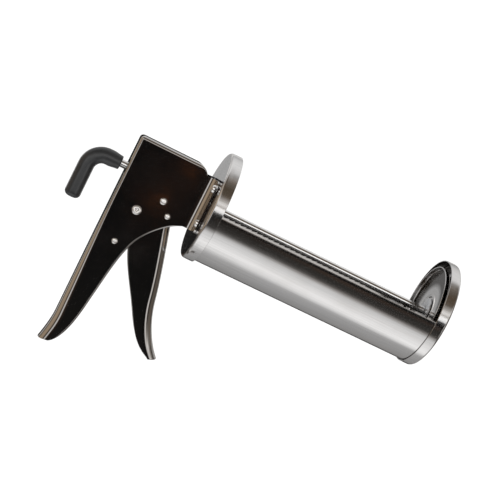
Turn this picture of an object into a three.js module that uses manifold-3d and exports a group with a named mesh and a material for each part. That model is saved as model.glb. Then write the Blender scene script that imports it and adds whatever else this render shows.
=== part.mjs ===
// A half-barrel caulking gun with a ratchet push rod: pressed-steel handle, trigger and barrel.
// Millimetres, +X along the barrel towards the nozzle, +Z up. The origin is on the back of the grip,
// where the web of the hand sits. Every function below works in the barrel frame, whose origin is
// where the barrel axis meets the rear cap's rear face, and one group moves it to the grip.

import * as THREE from "three";
import { mergeVertices } from "three/addons/utils/BufferGeometryUtils.js";
import Module from "manifold-3d";

const wasm = await Module();
wasm.setup();

// ---- driving dimensions ----

const GAP = 0.3; // between pieces that are fastened together
const SHEET = 1.5; // handle and trigger sheet

const SPINE_X = -70; // back of the grip, behind the rear cap
const GRIP_Z = -62; // height of the hand's web, below the barrel axis
const BODY_HALF_WIDTH = 10.5;
const BODY_TOP_Z = 28;
const TOP_CORNER = 4.4; // where the spine meets the top
const BODY_FRONT_X = -10;
const BODY_EDGE_RADIUS = 3;
const HANDLE_END_Z = -153;
const FLARE_START_Z = -128; // below this the spine sweeps back
const FLARE_END_X = -73.7; // at the handle's end

const FLANGE_TOP_Z = 22;
const FLANGE_BOTTOM_Z = -23;
const FLANGE_HALF_WIDTH = 23;
const FLANGE_BEND_RADIUS = 7.5;
const FLANGE_RIVET_Y = 19.6;
const FLANGE_RIVET_Z = 15;
const FLANGE_RIVET_SHANK = 1.8;

const CAP_DEPTH = 10;
const CAP_SHEET = 1;
const CORNER = 1; // the bevel inside a cap, between floor and wall
const REAR_CAP_RADIUS = 46;
const FRONT_CAP_RADIUS = 45.5;
const FRONT_CAP_X = 201; // open rim of the front cap
const NOZZLE_HOLE_RADIUS = 9.5;
const TROUGH_RADIUS = 43.6; // to the middle of its sheet
const TROUGH_SHEET = 1;
const TROUGH_EDGE_DROP = 1; // the trough's edges are this far below the axis

const ROD_RADIUS = 3.175;
const ROD_CLEARANCE = 0.5;
const ROD_SHOULDER_X = 201.4; // the rod steps down to its threaded end here
const ROD_STUD_RADIUS = 2.3;
const ROD_STUD_END_X = 208.6;
const TOOTH_PITCH = 5;
const TOOTH_COUNT = 40;
const FIRST_TOOTH_X = -52;
const TOOTH_ROOT_Z = -2;
const TOOTH_CREST_Z = -3.4;

const HOOK_X = -98.7; // centre line of the hook's hanging leg
const HOOK_BEND_RADIUS = 13;
const HOOK_END_Z = -36;
const SLEEVE_RADIUS = 6.6;
const SLEEVE_BORE_GAP = 0.5; // round the bar
const SLEEVE_START_X = -74.8;
const SLEEVE_END_Z = -41;

const PISTON_RADIUS = 39;
const PISTON_SHEET = 1;
const PISTON_RIM = 4;
const PISTON_FLAT_RADIUS = 9; // the flat that meets the plunger starts here, clear of the washer

const TRIGGER_HALF_WIDTH = 8.5;
const TRIGGER_EDGE_RADIUS = 6; // the front of the lever is nearly half round
const TRIGGER_WEB = 1.6;
const TRIGGER_TOP = { x: -18.6, z: -24.4 }; // top of the closed front, just under the stop sleeve

// Cross rivets through the handle's two sides, in side view.
const PIVOT = { x: -48.2, z: -27.1, shank: 2.4, head: 3.9, dome: 1.9 };
const BRAKE = { x: -32.3, z: -11.8, shank: 1.9, head: 2.9, dome: 1.5 };
const STOP = { x: -24.1, z: -21.3, shank: 1.5, head: 2.4, dome: 1.3 };
const ANCHOR = { x: -53, z: -56.7, shank: 1.5, head: 2.4, dome: 1.3 };
const RIVETS = [PIVOT, BRAKE, STOP, ANCHOR];
const PIVOT_SLEEVE = 3.6;
const BRAKE_SLEEVE = 3;
const STOP_SLEEVE = 2.8;
const ANCHOR_SLEEVE = 2.6;

// Cross pins carried by the trigger.
const PAWL_PIN = { x: -50.7, z: -11.3, radius: 1.6 };
const SPRING_PIN = { x: -57.4, z: -29.2, radius: 1.5 };
const PAWL_HALF_WIDTH = 2.4;

// ---- materials ----

const finish = (color, roughness, metalness) =>
  new THREE.MeshStandardMaterial({ color, roughness, metalness });

const polished = finish(0x8c8784, 0.12, 1);
const satinSteel = finish(0xc4c2bf, 0.3, 1);
const rivetSteel = finish(0xd6d6d6, 0.2, 1);
const rodSteel = finish(0xdadada, 0.15, 1);
const springSteel = finish(0x77777a, 0.35, 1);
const zincPlate = finish(0xb4b6ba, 0.35, 1);
const hardSteel = finish(0x5c5b5a, 0.4, 1);
const vinyl = finish(0x2b2c2e, 0.6, 0);

// ---- solids ----

function toSolid(geometry) {
  const plain = geometry.clone();
  plain.deleteAttribute("normal");
  plain.deleteAttribute("uv");
  const merged = mergeVertices(plain, 1e-4);
  const vertProperties = new Float32Array(merged.attributes.position.array);
  const triVerts = new Uint32Array(merged.index.array);
  return new wasm.Manifold(new wasm.Mesh({ numProp: 3, vertProperties, triVerts }));
}

function toGeometry(solid) {
  const mesh = solid.getMesh();
  const geometry = new THREE.BufferGeometry();
  geometry.setAttribute("position", new THREE.BufferAttribute(mesh.vertProperties, 3));
  geometry.setIndex(new THREE.BufferAttribute(mesh.triVerts, 1));
  return geometry;
}

const cut = (body, ...tools) =>
  toGeometry(tools.reduce((solid, tool) => solid.subtract(toSolid(tool)), toSolid(body)));

const join = (body, ...others) =>
  toGeometry(others.reduce((solid, other) => solid.add(toSolid(other)), toSolid(body)));

const overlap = (a, b) => toGeometry(toSolid(a).intersect(toSolid(b)));

// A side view, drawn with X forward and Y for height, pushed out equally to both sides of the gun.
function sidePlate(shape, halfWidth, edgeRadius = 0) {
  const options = {
    depth: 2 * (halfWidth - edgeRadius),
    bevelEnabled: edgeRadius > 0,
    bevelThickness: edgeRadius,
    bevelSize: edgeRadius,
    bevelOffset: -edgeRadius,
    bevelSegments: 3,
    curveSegments: 6,
  };
  const plate = new THREE.ExtrudeGeometry(shape, options);
  return plate.translate(0, 0, edgeRadius - halfWidth).rotateX(Math.PI / 2);
}

const polygon = (points) => new THREE.Shape(points.map(([x, y]) => new THREE.Vector2(x, y)));

// A body of revolution about the X axis; the profile lists [x, radius] and closes on itself.
function turned(profile, sides) {
  const points = [...profile, profile[0]].map(([x, radius]) => new THREE.Vector2(radius, x));
  points.reverse();
  return new THREE.LatheGeometry(points, sides).rotateZ(-Math.PI / 2);
}

function barAlongY(radius, halfLength, x, z, sides = 16) {
  return new THREE.CylinderGeometry(radius, radius, 2 * halfLength, sides).translate(x, 0, z);
}

function barAlongX(radius, fromX, toX, y = 0, z = 0, sides = 16) {
  const bar = new THREE.CylinderGeometry(radius, radius, toX - fromX, sides).rotateZ(-Math.PI / 2);
  return bar.translate((fromX + toX) / 2, y, z);
}

// A round wire or bar along a curve.
function swept(curve, radius, steps, sides = 8) {
  const section = new THREE.Shape();
  section.absarc(0, 0, radius, 0, 2 * Math.PI);
  return new THREE.ExtrudeGeometry(section, { extrudePath: curve, steps, curveSegments: sides });
}

// ---- handle ----

// The side view that the blank is trimmed to: true at the front and below, oversize behind and above.
function handleTrim() {
  const shape = new THREE.Shape();
  shape.moveTo(SPINE_X - 20, BODY_TOP_Z + 10);
  shape.lineTo(-19, BODY_TOP_Z + 10);
  shape.lineTo(-19, BODY_TOP_Z);
  shape.quadraticCurveTo(-13, BODY_TOP_Z - 1, BODY_FRONT_X, FLANGE_TOP_Z);
  shape.lineTo(BODY_FRONT_X, FLANGE_BOTTOM_Z);
  shape.bezierCurveTo(-20, -27, -37, -42, -41, -58);
  shape.bezierCurveTo(-45.5, -72, -47, -90, -49.5, -106);
  shape.bezierCurveTo(-51.5, -121, -54.5, -147.5, -67, -152);
  shape.quadraticCurveTo(-70, HANDLE_END_Z, -74, HANDLE_END_Z);
  shape.lineTo(SPINE_X - 20, HANDLE_END_Z);
  return shape;
}

// The pressed blank before it is trimmed: true at the spine and the top, oversize elsewhere.
function handleBlank(shiftX, shiftZ) {
  const shape = new THREE.Shape();
  const spineX = SPINE_X + shiftX;
  const topZ = BODY_TOP_Z + shiftZ;
  shape.moveTo(spineX, topZ - TOP_CORNER);
  shape.quadraticCurveTo(spineX, topZ, spineX + TOP_CORNER, topZ);
  shape.lineTo(20 + shiftX, topZ);
  shape.lineTo(20 + shiftX, -190);
  shape.lineTo(-82.7 + shiftX, -190);
  shape.lineTo(FLARE_END_X + shiftX, HANDLE_END_Z);
  shape.quadraticCurveTo(spineX, -138, spineX, FLARE_START_Z);
  return shape;
}

// One side's front edge, bent outwards to a flange that lies on the rear cap. Drawn from above.
function flange(side) {
  const inner = BODY_HALF_WIDTH - SHEET;
  const frontX = -GAP;
  const rearX = frontX - SHEET;
  const bendX = rearX - FLANGE_BEND_RADIUS;
  const bendY = BODY_HALF_WIDTH + FLANGE_BEND_RADIUS;
  const shape = new THREE.Shape();
  shape.moveTo(BODY_FRONT_X - 1, inner);
  shape.lineTo(bendX, inner);
  shape.absarc(bendX, bendY, FLANGE_BEND_RADIUS + SHEET, -Math.PI / 2, 0);
  shape.lineTo(frontX, FLANGE_HALF_WIDTH);
  shape.lineTo(rearX, FLANGE_HALF_WIDTH);
  shape.lineTo(rearX, bendY);
  shape.absarc(bendX, bendY, FLANGE_BEND_RADIUS, 0, -Math.PI / 2, true);
  shape.lineTo(BODY_FRONT_X - 1, BODY_HALF_WIDTH);
  const depth = FLANGE_TOP_Z - FLANGE_BOTTOM_Z;
  const bend = new THREE.ExtrudeGeometry(shape, { depth, bevelEnabled: false, curveSegments: 5 });
  bend.translate(0, 0, FLANGE_BOTTOM_Z);
  if (side > 0) return bend;
  // The other side is the same piece turned half a turn about X, and moved back to its height.
  return bend.rotateX(Math.PI).translate(0, 0, FLANGE_TOP_Z + FLANGE_BOTTOM_Z);
}

function handleBody() {
  const blank = sidePlate(handleBlank(0, 0), BODY_HALF_WIDTH, BODY_EDGE_RADIUS);
  const hollow = sidePlate(
    handleBlank(SHEET, -SHEET),
    BODY_HALF_WIDTH - SHEET,
    BODY_EDGE_RADIUS - SHEET,
  );
  const shell = cut(blank, hollow);
  const trimmed = overlap(shell, sidePlate(handleTrim(), BODY_HALF_WIDTH + 1));
  const holes = RIVETS.map(({ x, z, shank }) => barAlongY(shank + GAP, 15, x, z));
  const rodHole = barAlongX(ROD_RADIUS + ROD_CLEARANCE, SPINE_X - 5, SPINE_X + 5);
  const flangeHoles = flangeRivetPlaces().map(({ y, z }) =>
    barAlongX(FLANGE_RIVET_SHANK + GAP, -8, 3, y, z),
  );
  return cut(join(trimmed, flange(1), flange(-1)), ...holes, rodHole, ...flangeHoles);
}

const flangeRivetPlaces = () => [
  { name: "left_upper", y: FLANGE_RIVET_Y, z: FLANGE_RIVET_Z },
  { name: "left_lower", y: FLANGE_RIVET_Y, z: -FLANGE_RIVET_Z },
  { name: "right_upper", y: -FLANGE_RIVET_Y, z: FLANGE_RIVET_Z },
  { name: "right_lower", y: -FLANGE_RIVET_Y, z: -FLANGE_RIVET_Z },
];

// ---- rivets, sleeves and pins ----

// The right half of a domed head's edge, from the rim to the top.
function domeProfile(rim, height, radius, direction) {
  const points = [];
  const steps = 3;
  for (let i = 0; i <= steps; i++) {
    const angle = (i / steps) * (Math.PI / 2);
    points.push([rim + direction * height * Math.sin(angle), radius * Math.cos(angle)]);
  }
  return points;
}

// A rivet across the handle, domed on both sides.
function crossRivet({ x, z, shank, head, dome }) {
  const seat = BODY_HALF_WIDTH + GAP;
  const profile = [
    ...domeProfile(-seat, dome, head, -1).reverse(),
    [-seat, shank],
    [seat, shank],
    ...domeProfile(seat, dome, head, 1),
  ].map(([along, radius]) => new THREE.Vector2(Math.max(radius, 0), along));
  return new THREE.LatheGeometry(profile, 12).translate(x, 0, z);
}

// A flange rivet: dome behind the flange, flat tail inside the rear cap.
function flangeRivet({ y, z }) {
  const headX = -GAP - SHEET - GAP;
  const tailX = CAP_SHEET + GAP;
  const profile = [
    ...domeProfile(headX, 2.6, 3.3, -1).reverse(),
    [headX, FLANGE_RIVET_SHANK],
    [tailX, FLANGE_RIVET_SHANK],
    [tailX, 2.8],
    [tailX + 1, 2.4],
    [tailX + 1, 0],
  ].map(([along, radius]) => new THREE.Vector2(Math.max(radius, 0), along));
  return new THREE.LatheGeometry(profile, 12).rotateZ(-Math.PI / 2).translate(0, y, z);
}

function sleeveOn(rivet, radius, halfLength) {
  const outside = barAlongY(radius, halfLength, rivet.x, rivet.z);
  return cut(outside, barAlongY(rivet.shank + GAP, halfLength + 1, rivet.x, rivet.z));
}

const crossPin = ({ x, z, radius }) => barAlongY(radius, TRIGGER_HALF_WIDTH + 0.2, x, z, 12);

// ---- barrel ----

function rearCap() {
  const inside = REAR_CAP_RADIUS - CAP_SHEET;
  const hole = ROD_RADIUS + ROD_CLEARANCE;
  const cup = turned(
    [
      [0, hole],
      [CAP_SHEET, hole],
      [CAP_SHEET, inside - CORNER],
      [CAP_SHEET + CORNER, inside],
      [CAP_DEPTH, inside],
      [CAP_DEPTH, REAR_CAP_RADIUS],
      [2, REAR_CAP_RADIUS],
      [0.6, REAR_CAP_RADIUS - 0.6],
      [0, REAR_CAP_RADIUS - 2],
    ],
    48,
  );
  const rivetHoles = flangeRivetPlaces().map(({ y, z }) =>
    barAlongX(FLANGE_RIVET_SHANK + GAP, -3, 4, y, z),
  );
  return cut(cup, ...rivetHoles);
}

// The floor has a pressed step that stiffens it round the nozzle hole.
function frontCap() {
  const frontX = FRONT_CAP_X + CAP_DEPTH;
  const inside = FRONT_CAP_RADIUS - CAP_SHEET;
  const stepRadius = 31;
  const step = 0.8;
  return turned(
    [
      [frontX, NOZZLE_HOLE_RADIUS],
      [frontX, stepRadius],
      [frontX - step, stepRadius + 2],
      [frontX - step, FRONT_CAP_RADIUS - 3.4],
      [frontX - 1.8, FRONT_CAP_RADIUS - 1],
      [frontX - 4, FRONT_CAP_RADIUS],
      [FRONT_CAP_X, FRONT_CAP_RADIUS],
      [FRONT_CAP_X, inside],
      [frontX - 4, inside],
      [frontX - step - CAP_SHEET, inside - 2.4],
      [frontX - step - CAP_SHEET, stepRadius + 2],
      [frontX - CAP_SHEET, stepRadius],
      [frontX - CAP_SHEET, NOZZLE_HOLE_RADIUS],
    ],
    48,
  );
}

function barrelTrough() {
  const startX = CAP_SHEET + CORNER + GAP;
  const endX = FRONT_CAP_X + CAP_DEPTH - 4;
  const outer = TROUGH_RADIUS + TROUGH_SHEET / 2;
  const inner = TROUGH_RADIUS - TROUGH_SHEET / 2;
  const drop = Math.asin(TROUGH_EDGE_DROP / TROUGH_RADIUS);
  const section = new THREE.Shape();
  section.absarc(0, 0, outer, Math.PI + drop, 2 * Math.PI - drop);
  section.absarc(0, 0, inner, 2 * Math.PI - drop, Math.PI + drop, true);
  const options = { depth: endX - startX, bevelEnabled: false, curveSegments: 20 };
  const trough = new THREE.ExtrudeGeometry(section, options);
  return trough.rotateX(Math.PI / 2).rotateZ(Math.PI / 2).translate(startX, 0, 0);
}

// ---- push rod and hook ----

// The bar's centre line from a point on the axis, round the bend and down the hanging leg.
function hookLine(fromX, endZ) {
  const bendX = HOOK_X + HOOK_BEND_RADIUS;
  const reach = HOOK_BEND_RADIUS * 0.5523;
  const line = new THREE.CurvePath();
  line.add(new THREE.LineCurve3(new THREE.Vector3(fromX, 0, 0), new THREE.Vector3(bendX, 0, 0)));
  line.add(
    new THREE.CubicBezierCurve3(
      new THREE.Vector3(bendX, 0, 0),
      new THREE.Vector3(bendX - reach, 0, 0),
      new THREE.Vector3(HOOK_X, 0, reach - HOOK_BEND_RADIUS),
      new THREE.Vector3(HOOK_X, 0, -HOOK_BEND_RADIUS),
    ),
  );
  line.add(
    new THREE.LineCurve3(
      new THREE.Vector3(HOOK_X, 0, -HOOK_BEND_RADIUS),
      new THREE.Vector3(HOOK_X, 0, endZ),
    ),
  );
  return line;
}

// A saw-toothed block under the rod; what it overlaps is cut away as the rack.
function rackCutter() {
  const points = [];
  for (let i = 0; i < TOOTH_COUNT; i++) {
    const x = FIRST_TOOTH_X + i * TOOTH_PITCH;
    points.push([x, TOOTH_CREST_Z], [x + TOOTH_PITCH, TOOTH_ROOT_Z]);
  }
  const endX = FIRST_TOOTH_X + TOOTH_COUNT * TOOTH_PITCH;
  points.push([endX, TOOTH_CREST_Z - 3], [FIRST_TOOTH_X, TOOTH_CREST_Z - 3]);
  return sidePlate(polygon(points), ROD_RADIUS + 1);
}

function pushRod() {
  const bendX = HOOK_X + HOOK_BEND_RADIUS;
  const bar = barAlongX(ROD_RADIUS, bendX, ROD_SHOULDER_X);
  const stud = barAlongX(ROD_STUD_RADIUS, ROD_SHOULDER_X - 1, ROD_STUD_END_X);
  const hook = swept(hookLine(bendX + 2, HOOK_END_Z), ROD_RADIUS, 10, 8);
  return cut(join(bar, stud, hook), rackCutter());
}

// The sleeve is dipped vinyl: open where the rod enters, closed and rounded below.
function hookSleeve() {
  const tip = new THREE.SphereGeometry(SLEEVE_RADIUS, 12, 8);
  const roundEndZ = SLEEVE_END_Z + SLEEVE_RADIUS;
  const outside = join(
    swept(hookLine(SLEEVE_START_X, roundEndZ), SLEEVE_RADIUS, 14, 6),
    tip.translate(HOOK_X, 0, roundEndZ),
  );
  const mouth = SLEEVE_START_X + 3;
  const bore = swept(hookLine(mouth, HOOK_END_Z - GAP), ROD_RADIUS + SLEEVE_BORE_GAP, 14, 6);
  return cut(outside, bore);
}

// ---- piston ----

// Places of the piston's stack along the rod, each piece a gap ahead of the one before.
const REAR_WASHER_X = ROD_SHOULDER_X + GAP;
const REAR_WASHER_THICKNESS = 1.2;
const PISTON_X = REAR_WASHER_X + REAR_WASHER_THICKNESS + GAP;
const FRONT_WASHER_X = PISTON_X + PISTON_SHEET + GAP;
const FRONT_WASHER_THICKNESS = 0.8;
const NUT_X = FRONT_WASHER_X + FRONT_WASHER_THICKNESS + GAP;
const NUT_THICKNESS = 2.2;

function washer(x, thickness, radius) {
  const hole = ROD_STUD_RADIUS + GAP;
  return turned([[x, hole], [x + thickness, hole], [x + thickness, radius], [x, radius]], 32);
}

// A shallow pan with its rim turned back towards the handle.
function pistonPlate() {
  const hole = ROD_STUD_RADIUS + GAP;
  const front = PISTON_X + PISTON_SHEET;
  const rimX = PISTON_X - PISTON_RIM;
  const inside = PISTON_RADIUS - PISTON_SHEET;
  return turned(
    [
      [PISTON_X, hole],
      [front, hole],
      [front, PISTON_FLAT_RADIUS],
      [front, PISTON_RADIUS - 2.5],
      [front - 0.8, PISTON_RADIUS - 0.8],
      [front - 2.5, PISTON_RADIUS],
      [rimX, PISTON_RADIUS],
      [rimX, inside],
      [PISTON_X - 1.5, inside],
      [PISTON_X, PISTON_RADIUS - 2.5],
    ],
    40,
  );
}

function rodNut() {
  const nut = new THREE.CylinderGeometry(4.6, 4.6, NUT_THICKNESS, 6).rotateZ(-Math.PI / 2);
  nut.translate(NUT_X + NUT_THICKNESS / 2, 0, 0);
  return cut(nut, barAlongX(ROD_STUD_RADIUS + GAP, NUT_X - 1, NUT_X + NUT_THICKNESS + 1));
}

// ---- trigger ----

// The closed front of the trigger's channel, from the top down to the curled tip.
function traceTriggerFront(shape, shiftX) {
  shape.bezierCurveTo(-12.4 + shiftX, -46, -5.2 + shiftX, -70, -1.9 + shiftX, -86);
  shape.bezierCurveTo(1.3 + shiftX, -101, 7.9 + shiftX, -117, 20 + shiftX, -129.9);
}

function triggerOutline() {
  const shape = new THREE.Shape();
  shape.moveTo(TRIGGER_TOP.x, TRIGGER_TOP.z);
  traceTriggerFront(shape, 0);
  shape.quadraticCurveTo(19, -133.2, 13.8, -132);
  shape.bezierCurveTo(-3, -126, -9, -112, -17, -99);
  shape.bezierCurveTo(-24, -87, -36, -71, ANCHOR.x + 12.3, ANCHOR.z + 0.4);
  shape.quadraticCurveTo(-42, -48, -50, -41);
  shape.lineTo(SPRING_PIN.x - 1, SPRING_PIN.z - 4.5);
  shape.quadraticCurveTo(SPRING_PIN.x - 6, SPRING_PIN.z, SPRING_PIN.x - 2, SPRING_PIN.z + 6);
  shape.lineTo(PAWL_PIN.x - 4.5, PAWL_PIN.z + 1);
  shape.absarc(PAWL_PIN.x, PAWL_PIN.z, 4.5, 0.95 * Math.PI, 0.1 * Math.PI, true);
  shape.quadraticCurveTo(-42, -20, -34, TRIGGER_TOP.z);
  return shape;
}

function triggerBlank(shiftX) {
  const shape = new THREE.Shape();
  shape.moveTo(-23 + shiftX, 10);
  shape.lineTo(TRIGGER_TOP.x + shiftX, TRIGGER_TOP.z);
  traceTriggerFront(shape, shiftX);
  shape.lineTo(40 + shiftX, -150);
  shape.lineTo(-100, -150);
  shape.lineTo(-100, 10);
  return shape;
}

function triggerChannel() {
  const blank = sidePlate(triggerBlank(0), TRIGGER_HALF_WIDTH, TRIGGER_EDGE_RADIUS);
  const hollow = sidePlate(
    triggerBlank(-TRIGGER_WEB),
    TRIGGER_HALF_WIDTH - SHEET,
    TRIGGER_EDGE_RADIUS - SHEET,
  );
  const channel = overlap(cut(blank, hollow), sidePlate(triggerOutline(), TRIGGER_HALF_WIDTH + 1));
  const pivotHole = barAlongY(PIVOT_SLEEVE + GAP, 15, PIVOT.x, PIVOT.z);
  const pinHoles = [PAWL_PIN, SPRING_PIN].map((pin) =>
    barAlongY(pin.radius + GAP, 15, pin.x, pin.z, 12),
  );
  return cut(channel, pivotHole, ...pinHoles);
}

// ---- pawl and springs ----

// The pawl's nose stands just under the rack's crests, so that the rod and trigger move freely.
function pawl() {
  const { x, z } = PAWL_PIN;
  const noseX = x + 8;
  const noseZ = -ROD_RADIUS - 0.5;
  const shape = new THREE.Shape();
  shape.moveTo(noseX, noseZ);
  shape.lineTo(noseX - 3.5, noseZ - 0.9);
  shape.lineTo(x - 2.5, z + 3.4);
  shape.absarc(x, z, 4.2, 0.7 * Math.PI, 1.75 * Math.PI);
  shape.quadraticCurveTo(noseX - 1.5, z - 0.5, noseX, noseZ - 2.6);
  const plate = sidePlate(shape, PAWL_HALF_WIDTH);
  return cut(plate, barAlongY(PAWL_PIN.radius + GAP, 10, x, z, 12));
}

const smoothWire = (points, radius, steps) =>
  swept(new THREE.CatmullRomCurve3(points, false, "centripetal"), radius, steps, 3);

// A torsion spring round the pawl's pin, with one leg under the nose and one down to the web.
function pawlSpring() {
  const { x, z } = PAWL_PIN;
  const coil = 2.6;
  const turns = 2.5;
  const perTurn = 10;
  const points = [new THREE.Vector3(x + 6.5, 3.2, z + 1.5)];
  for (let i = 0; i <= turns * perTurn; i++) {
    const angle = -Math.PI / 2 + (i / perTurn) * 2 * Math.PI;
    const y = 3.4 + (i / perTurn) * 1.1;
    points.push(new THREE.Vector3(x - coil * Math.cos(angle), y, z + coil * Math.sin(angle)));
  }
  points.push(new THREE.Vector3(x + 7, 6.2, z + 0.2));
  return smoothWire(points, 0.4, 50);
}

// The extension spring that pulls the trigger back, from its own pin to the anchor sleeve.
function returnSpring() {
  const top = new THREE.Vector3(SPRING_PIN.x, 0, SPRING_PIN.z);
  const bottom = new THREE.Vector3(ANCHOR.x, 0, ANCHOR.z);
  const down = bottom.clone().sub(top).normalize();
  const across = new THREE.Vector3(-down.z, 0, down.x);
  const wire = 0.45;
  const coil = 2.2;
  const turns = 9;
  const perTurn = 8;
  const start = 5;
  const length = top.distanceTo(bottom) - 2 * start - 1;
  const at = (along, side, y) =>
    top.clone().addScaledVector(down, along).addScaledVector(across, side).setY(y);
  const points = [];
  const topHook = SPRING_PIN.radius + GAP + wire;
  for (let degrees = -120; degrees <= 90; degrees += 30) {
    const angle = THREE.MathUtils.degToRad(degrees);
    points.push(at(-topHook * Math.cos(angle), topHook * Math.sin(angle), 0));
  }
  for (let i = 0; i <= turns * perTurn; i++) {
    const angle = (i / perTurn) * 2 * Math.PI;
    const along = start + (i / (turns * perTurn)) * length;
    points.push(at(along, coil * Math.cos(angle), coil * Math.sin(angle)));
  }
  const bottomHook = ANCHOR_SLEEVE + GAP + wire;
  const bottomAlong = top.distanceTo(bottom);
  for (let degrees = 90; degrees >= -120; degrees -= 30) {
    const angle = THREE.MathUtils.degToRad(degrees);
    const side = bottomHook * Math.sin(angle);
    points.push(at(bottomAlong + bottomHook * Math.cos(angle), side, 0));
  }
  return smoothWire(points, wire, 100);
}

// A strip of even thickness along a line of points in the side view.
function strip(points, thickness) {
  const half = thickness / 2;
  const line = points.map(([x, y]) => new THREE.Vector2(x, y));
  const side = (sign) =>
    line.map((point, i) => {
      const before = line[Math.max(i - 1, 0)];
      const after = line[Math.min(i + 1, line.length - 1)];
      const along = after.clone().sub(before).normalize();
      return [point.x - sign * half * along.y, point.y + sign * half * along.x];
    });
  return polygon([...side(1), ...side(-1).reverse()]);
}

// A hairpin leaf that hugs the brake sleeve: its lower leg rests on the stop sleeve, and its upper
// leg presses up under the rod, so that the rod stays put while the trigger returns.
function brakeSpring() {
  const thickness = 0.8;
  const turn = BRAKE_SLEEVE + GAP + thickness / 2;
  const lowerZ = STOP.z + STOP_SLEEVE + GAP + thickness / 2;
  const contactZ = -ROD_RADIUS - GAP - thickness / 2;
  const points = [
    [STOP.x + 3, lowerZ],
    [STOP.x - 2, lowerZ],
  ];
  for (let degrees = 285; degrees >= 105; degrees -= 20) {
    const angle = THREE.MathUtils.degToRad(degrees);
    points.push([BRAKE.x + turn * Math.cos(angle), BRAKE.z + turn * Math.sin(angle)]);
  }
  points.push([STOP.x + 2, contactZ], [STOP.x + 5, contactZ], [STOP.x + 8, contactZ - 1.6]);
  return sidePlate(strip(points, thickness), 3.5);
}

// ---- assembly ----

const gun = new THREE.Group();
gun.position.set(-SPINE_X, 0, -GRIP_Z);

function addPart(name, geometry, material) {
  const mesh = new THREE.Mesh(geometry, material);
  mesh.name = name;
  gun.add(mesh);
}

addPart("handle_body", handleBody(), polished);
addPart("rear_cap", rearCap(), satinSteel);
addPart("front_cap", frontCap(), satinSteel);
addPart("barrel_trough", barrelTrough(), satinSteel);

addPart("trigger_pivot_rivet", crossRivet(PIVOT), rivetSteel);
addPart("brake_rivet", crossRivet(BRAKE), rivetSteel);
addPart("trigger_stop_rivet", crossRivet(STOP), rivetSteel);
addPart("spring_anchor_rivet", crossRivet(ANCHOR), rivetSteel);
for (const place of flangeRivetPlaces()) {
  addPart(`flange_rivet_${place.name}`, flangeRivet(place), rivetSteel);
}

const SLEEVE_HALF_LENGTH = BODY_HALF_WIDTH - SHEET - GAP;
addPart("pivot_sleeve", sleeveOn(PIVOT, PIVOT_SLEEVE, SLEEVE_HALF_LENGTH), zincPlate);
addPart("brake_sleeve", sleeveOn(BRAKE, BRAKE_SLEEVE, SLEEVE_HALF_LENGTH), zincPlate);
addPart("stop_sleeve", sleeveOn(STOP, STOP_SLEEVE, SLEEVE_HALF_LENGTH), zincPlate);
addPart("anchor_sleeve", sleeveOn(ANCHOR, ANCHOR_SLEEVE, SLEEVE_HALF_LENGTH), zincPlate);
addPart("rod_brake_spring", brakeSpring(), springSteel);

addPart("trigger", triggerChannel(), polished);
addPart("pawl_pin", crossPin(PAWL_PIN), zincPlate);
addPart("spring_pin", crossPin(SPRING_PIN), zincPlate);
addPart("pawl", pawl(), hardSteel);
addPart("pawl_spring", pawlSpring(), springSteel);
addPart("trigger_return_spring", returnSpring(), springSteel);

addPart("push_rod", pushRod(), rodSteel);
addPart("hook_sleeve", hookSleeve(), vinyl);
addPart("piston_plate", pistonPlate(), satinSteel);
addPart("piston_rear_washer", washer(REAR_WASHER_X, REAR_WASHER_THICKNESS, 11.5), zincPlate);
addPart("piston_front_washer", washer(FRONT_WASHER_X, FRONT_WASHER_THICKNESS, 8), zincPlate);
addPart("rod_nut", rodNut(), zincPlate);

export default gun;
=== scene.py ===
# A half-barrel caulking gun in polished and satin chrome. Shapes are worked out in millimetres in
# the barrel frame: origin where the barrel axis meets the rear cap's rear face, +X to the nozzle,
# +Y to the holder's left, +Z up. to_row() turns them into the row frame, in metres.
import math

import bmesh
import bpy
from mathutils import Matrix, Vector


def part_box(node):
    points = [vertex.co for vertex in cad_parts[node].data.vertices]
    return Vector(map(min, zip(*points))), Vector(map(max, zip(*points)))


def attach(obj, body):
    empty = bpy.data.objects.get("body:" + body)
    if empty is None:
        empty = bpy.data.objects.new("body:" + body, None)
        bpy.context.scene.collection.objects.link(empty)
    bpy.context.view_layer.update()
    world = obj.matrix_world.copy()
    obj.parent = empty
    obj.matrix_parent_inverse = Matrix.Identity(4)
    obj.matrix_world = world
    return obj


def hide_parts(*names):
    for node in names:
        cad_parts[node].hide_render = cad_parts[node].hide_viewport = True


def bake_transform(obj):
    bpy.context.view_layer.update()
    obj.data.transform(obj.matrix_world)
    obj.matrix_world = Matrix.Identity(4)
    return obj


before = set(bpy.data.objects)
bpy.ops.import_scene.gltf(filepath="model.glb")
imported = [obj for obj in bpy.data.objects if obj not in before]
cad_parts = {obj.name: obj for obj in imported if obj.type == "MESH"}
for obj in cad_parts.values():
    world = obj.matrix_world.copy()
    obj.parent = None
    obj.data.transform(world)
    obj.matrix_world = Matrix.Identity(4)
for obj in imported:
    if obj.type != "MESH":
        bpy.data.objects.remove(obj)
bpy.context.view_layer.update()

MM = 0.001

# ---- dimensions, in the barrel frame ----

CAP_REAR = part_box("rear_cap")
SPINE_X = -CAP_REAR[0].x / MM  # the row frame's origin is on the spine
GRIP_Z = -(CAP_REAR[0].z + CAP_REAR[1].z) / 2 / MM  # and below the barrel axis

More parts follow.
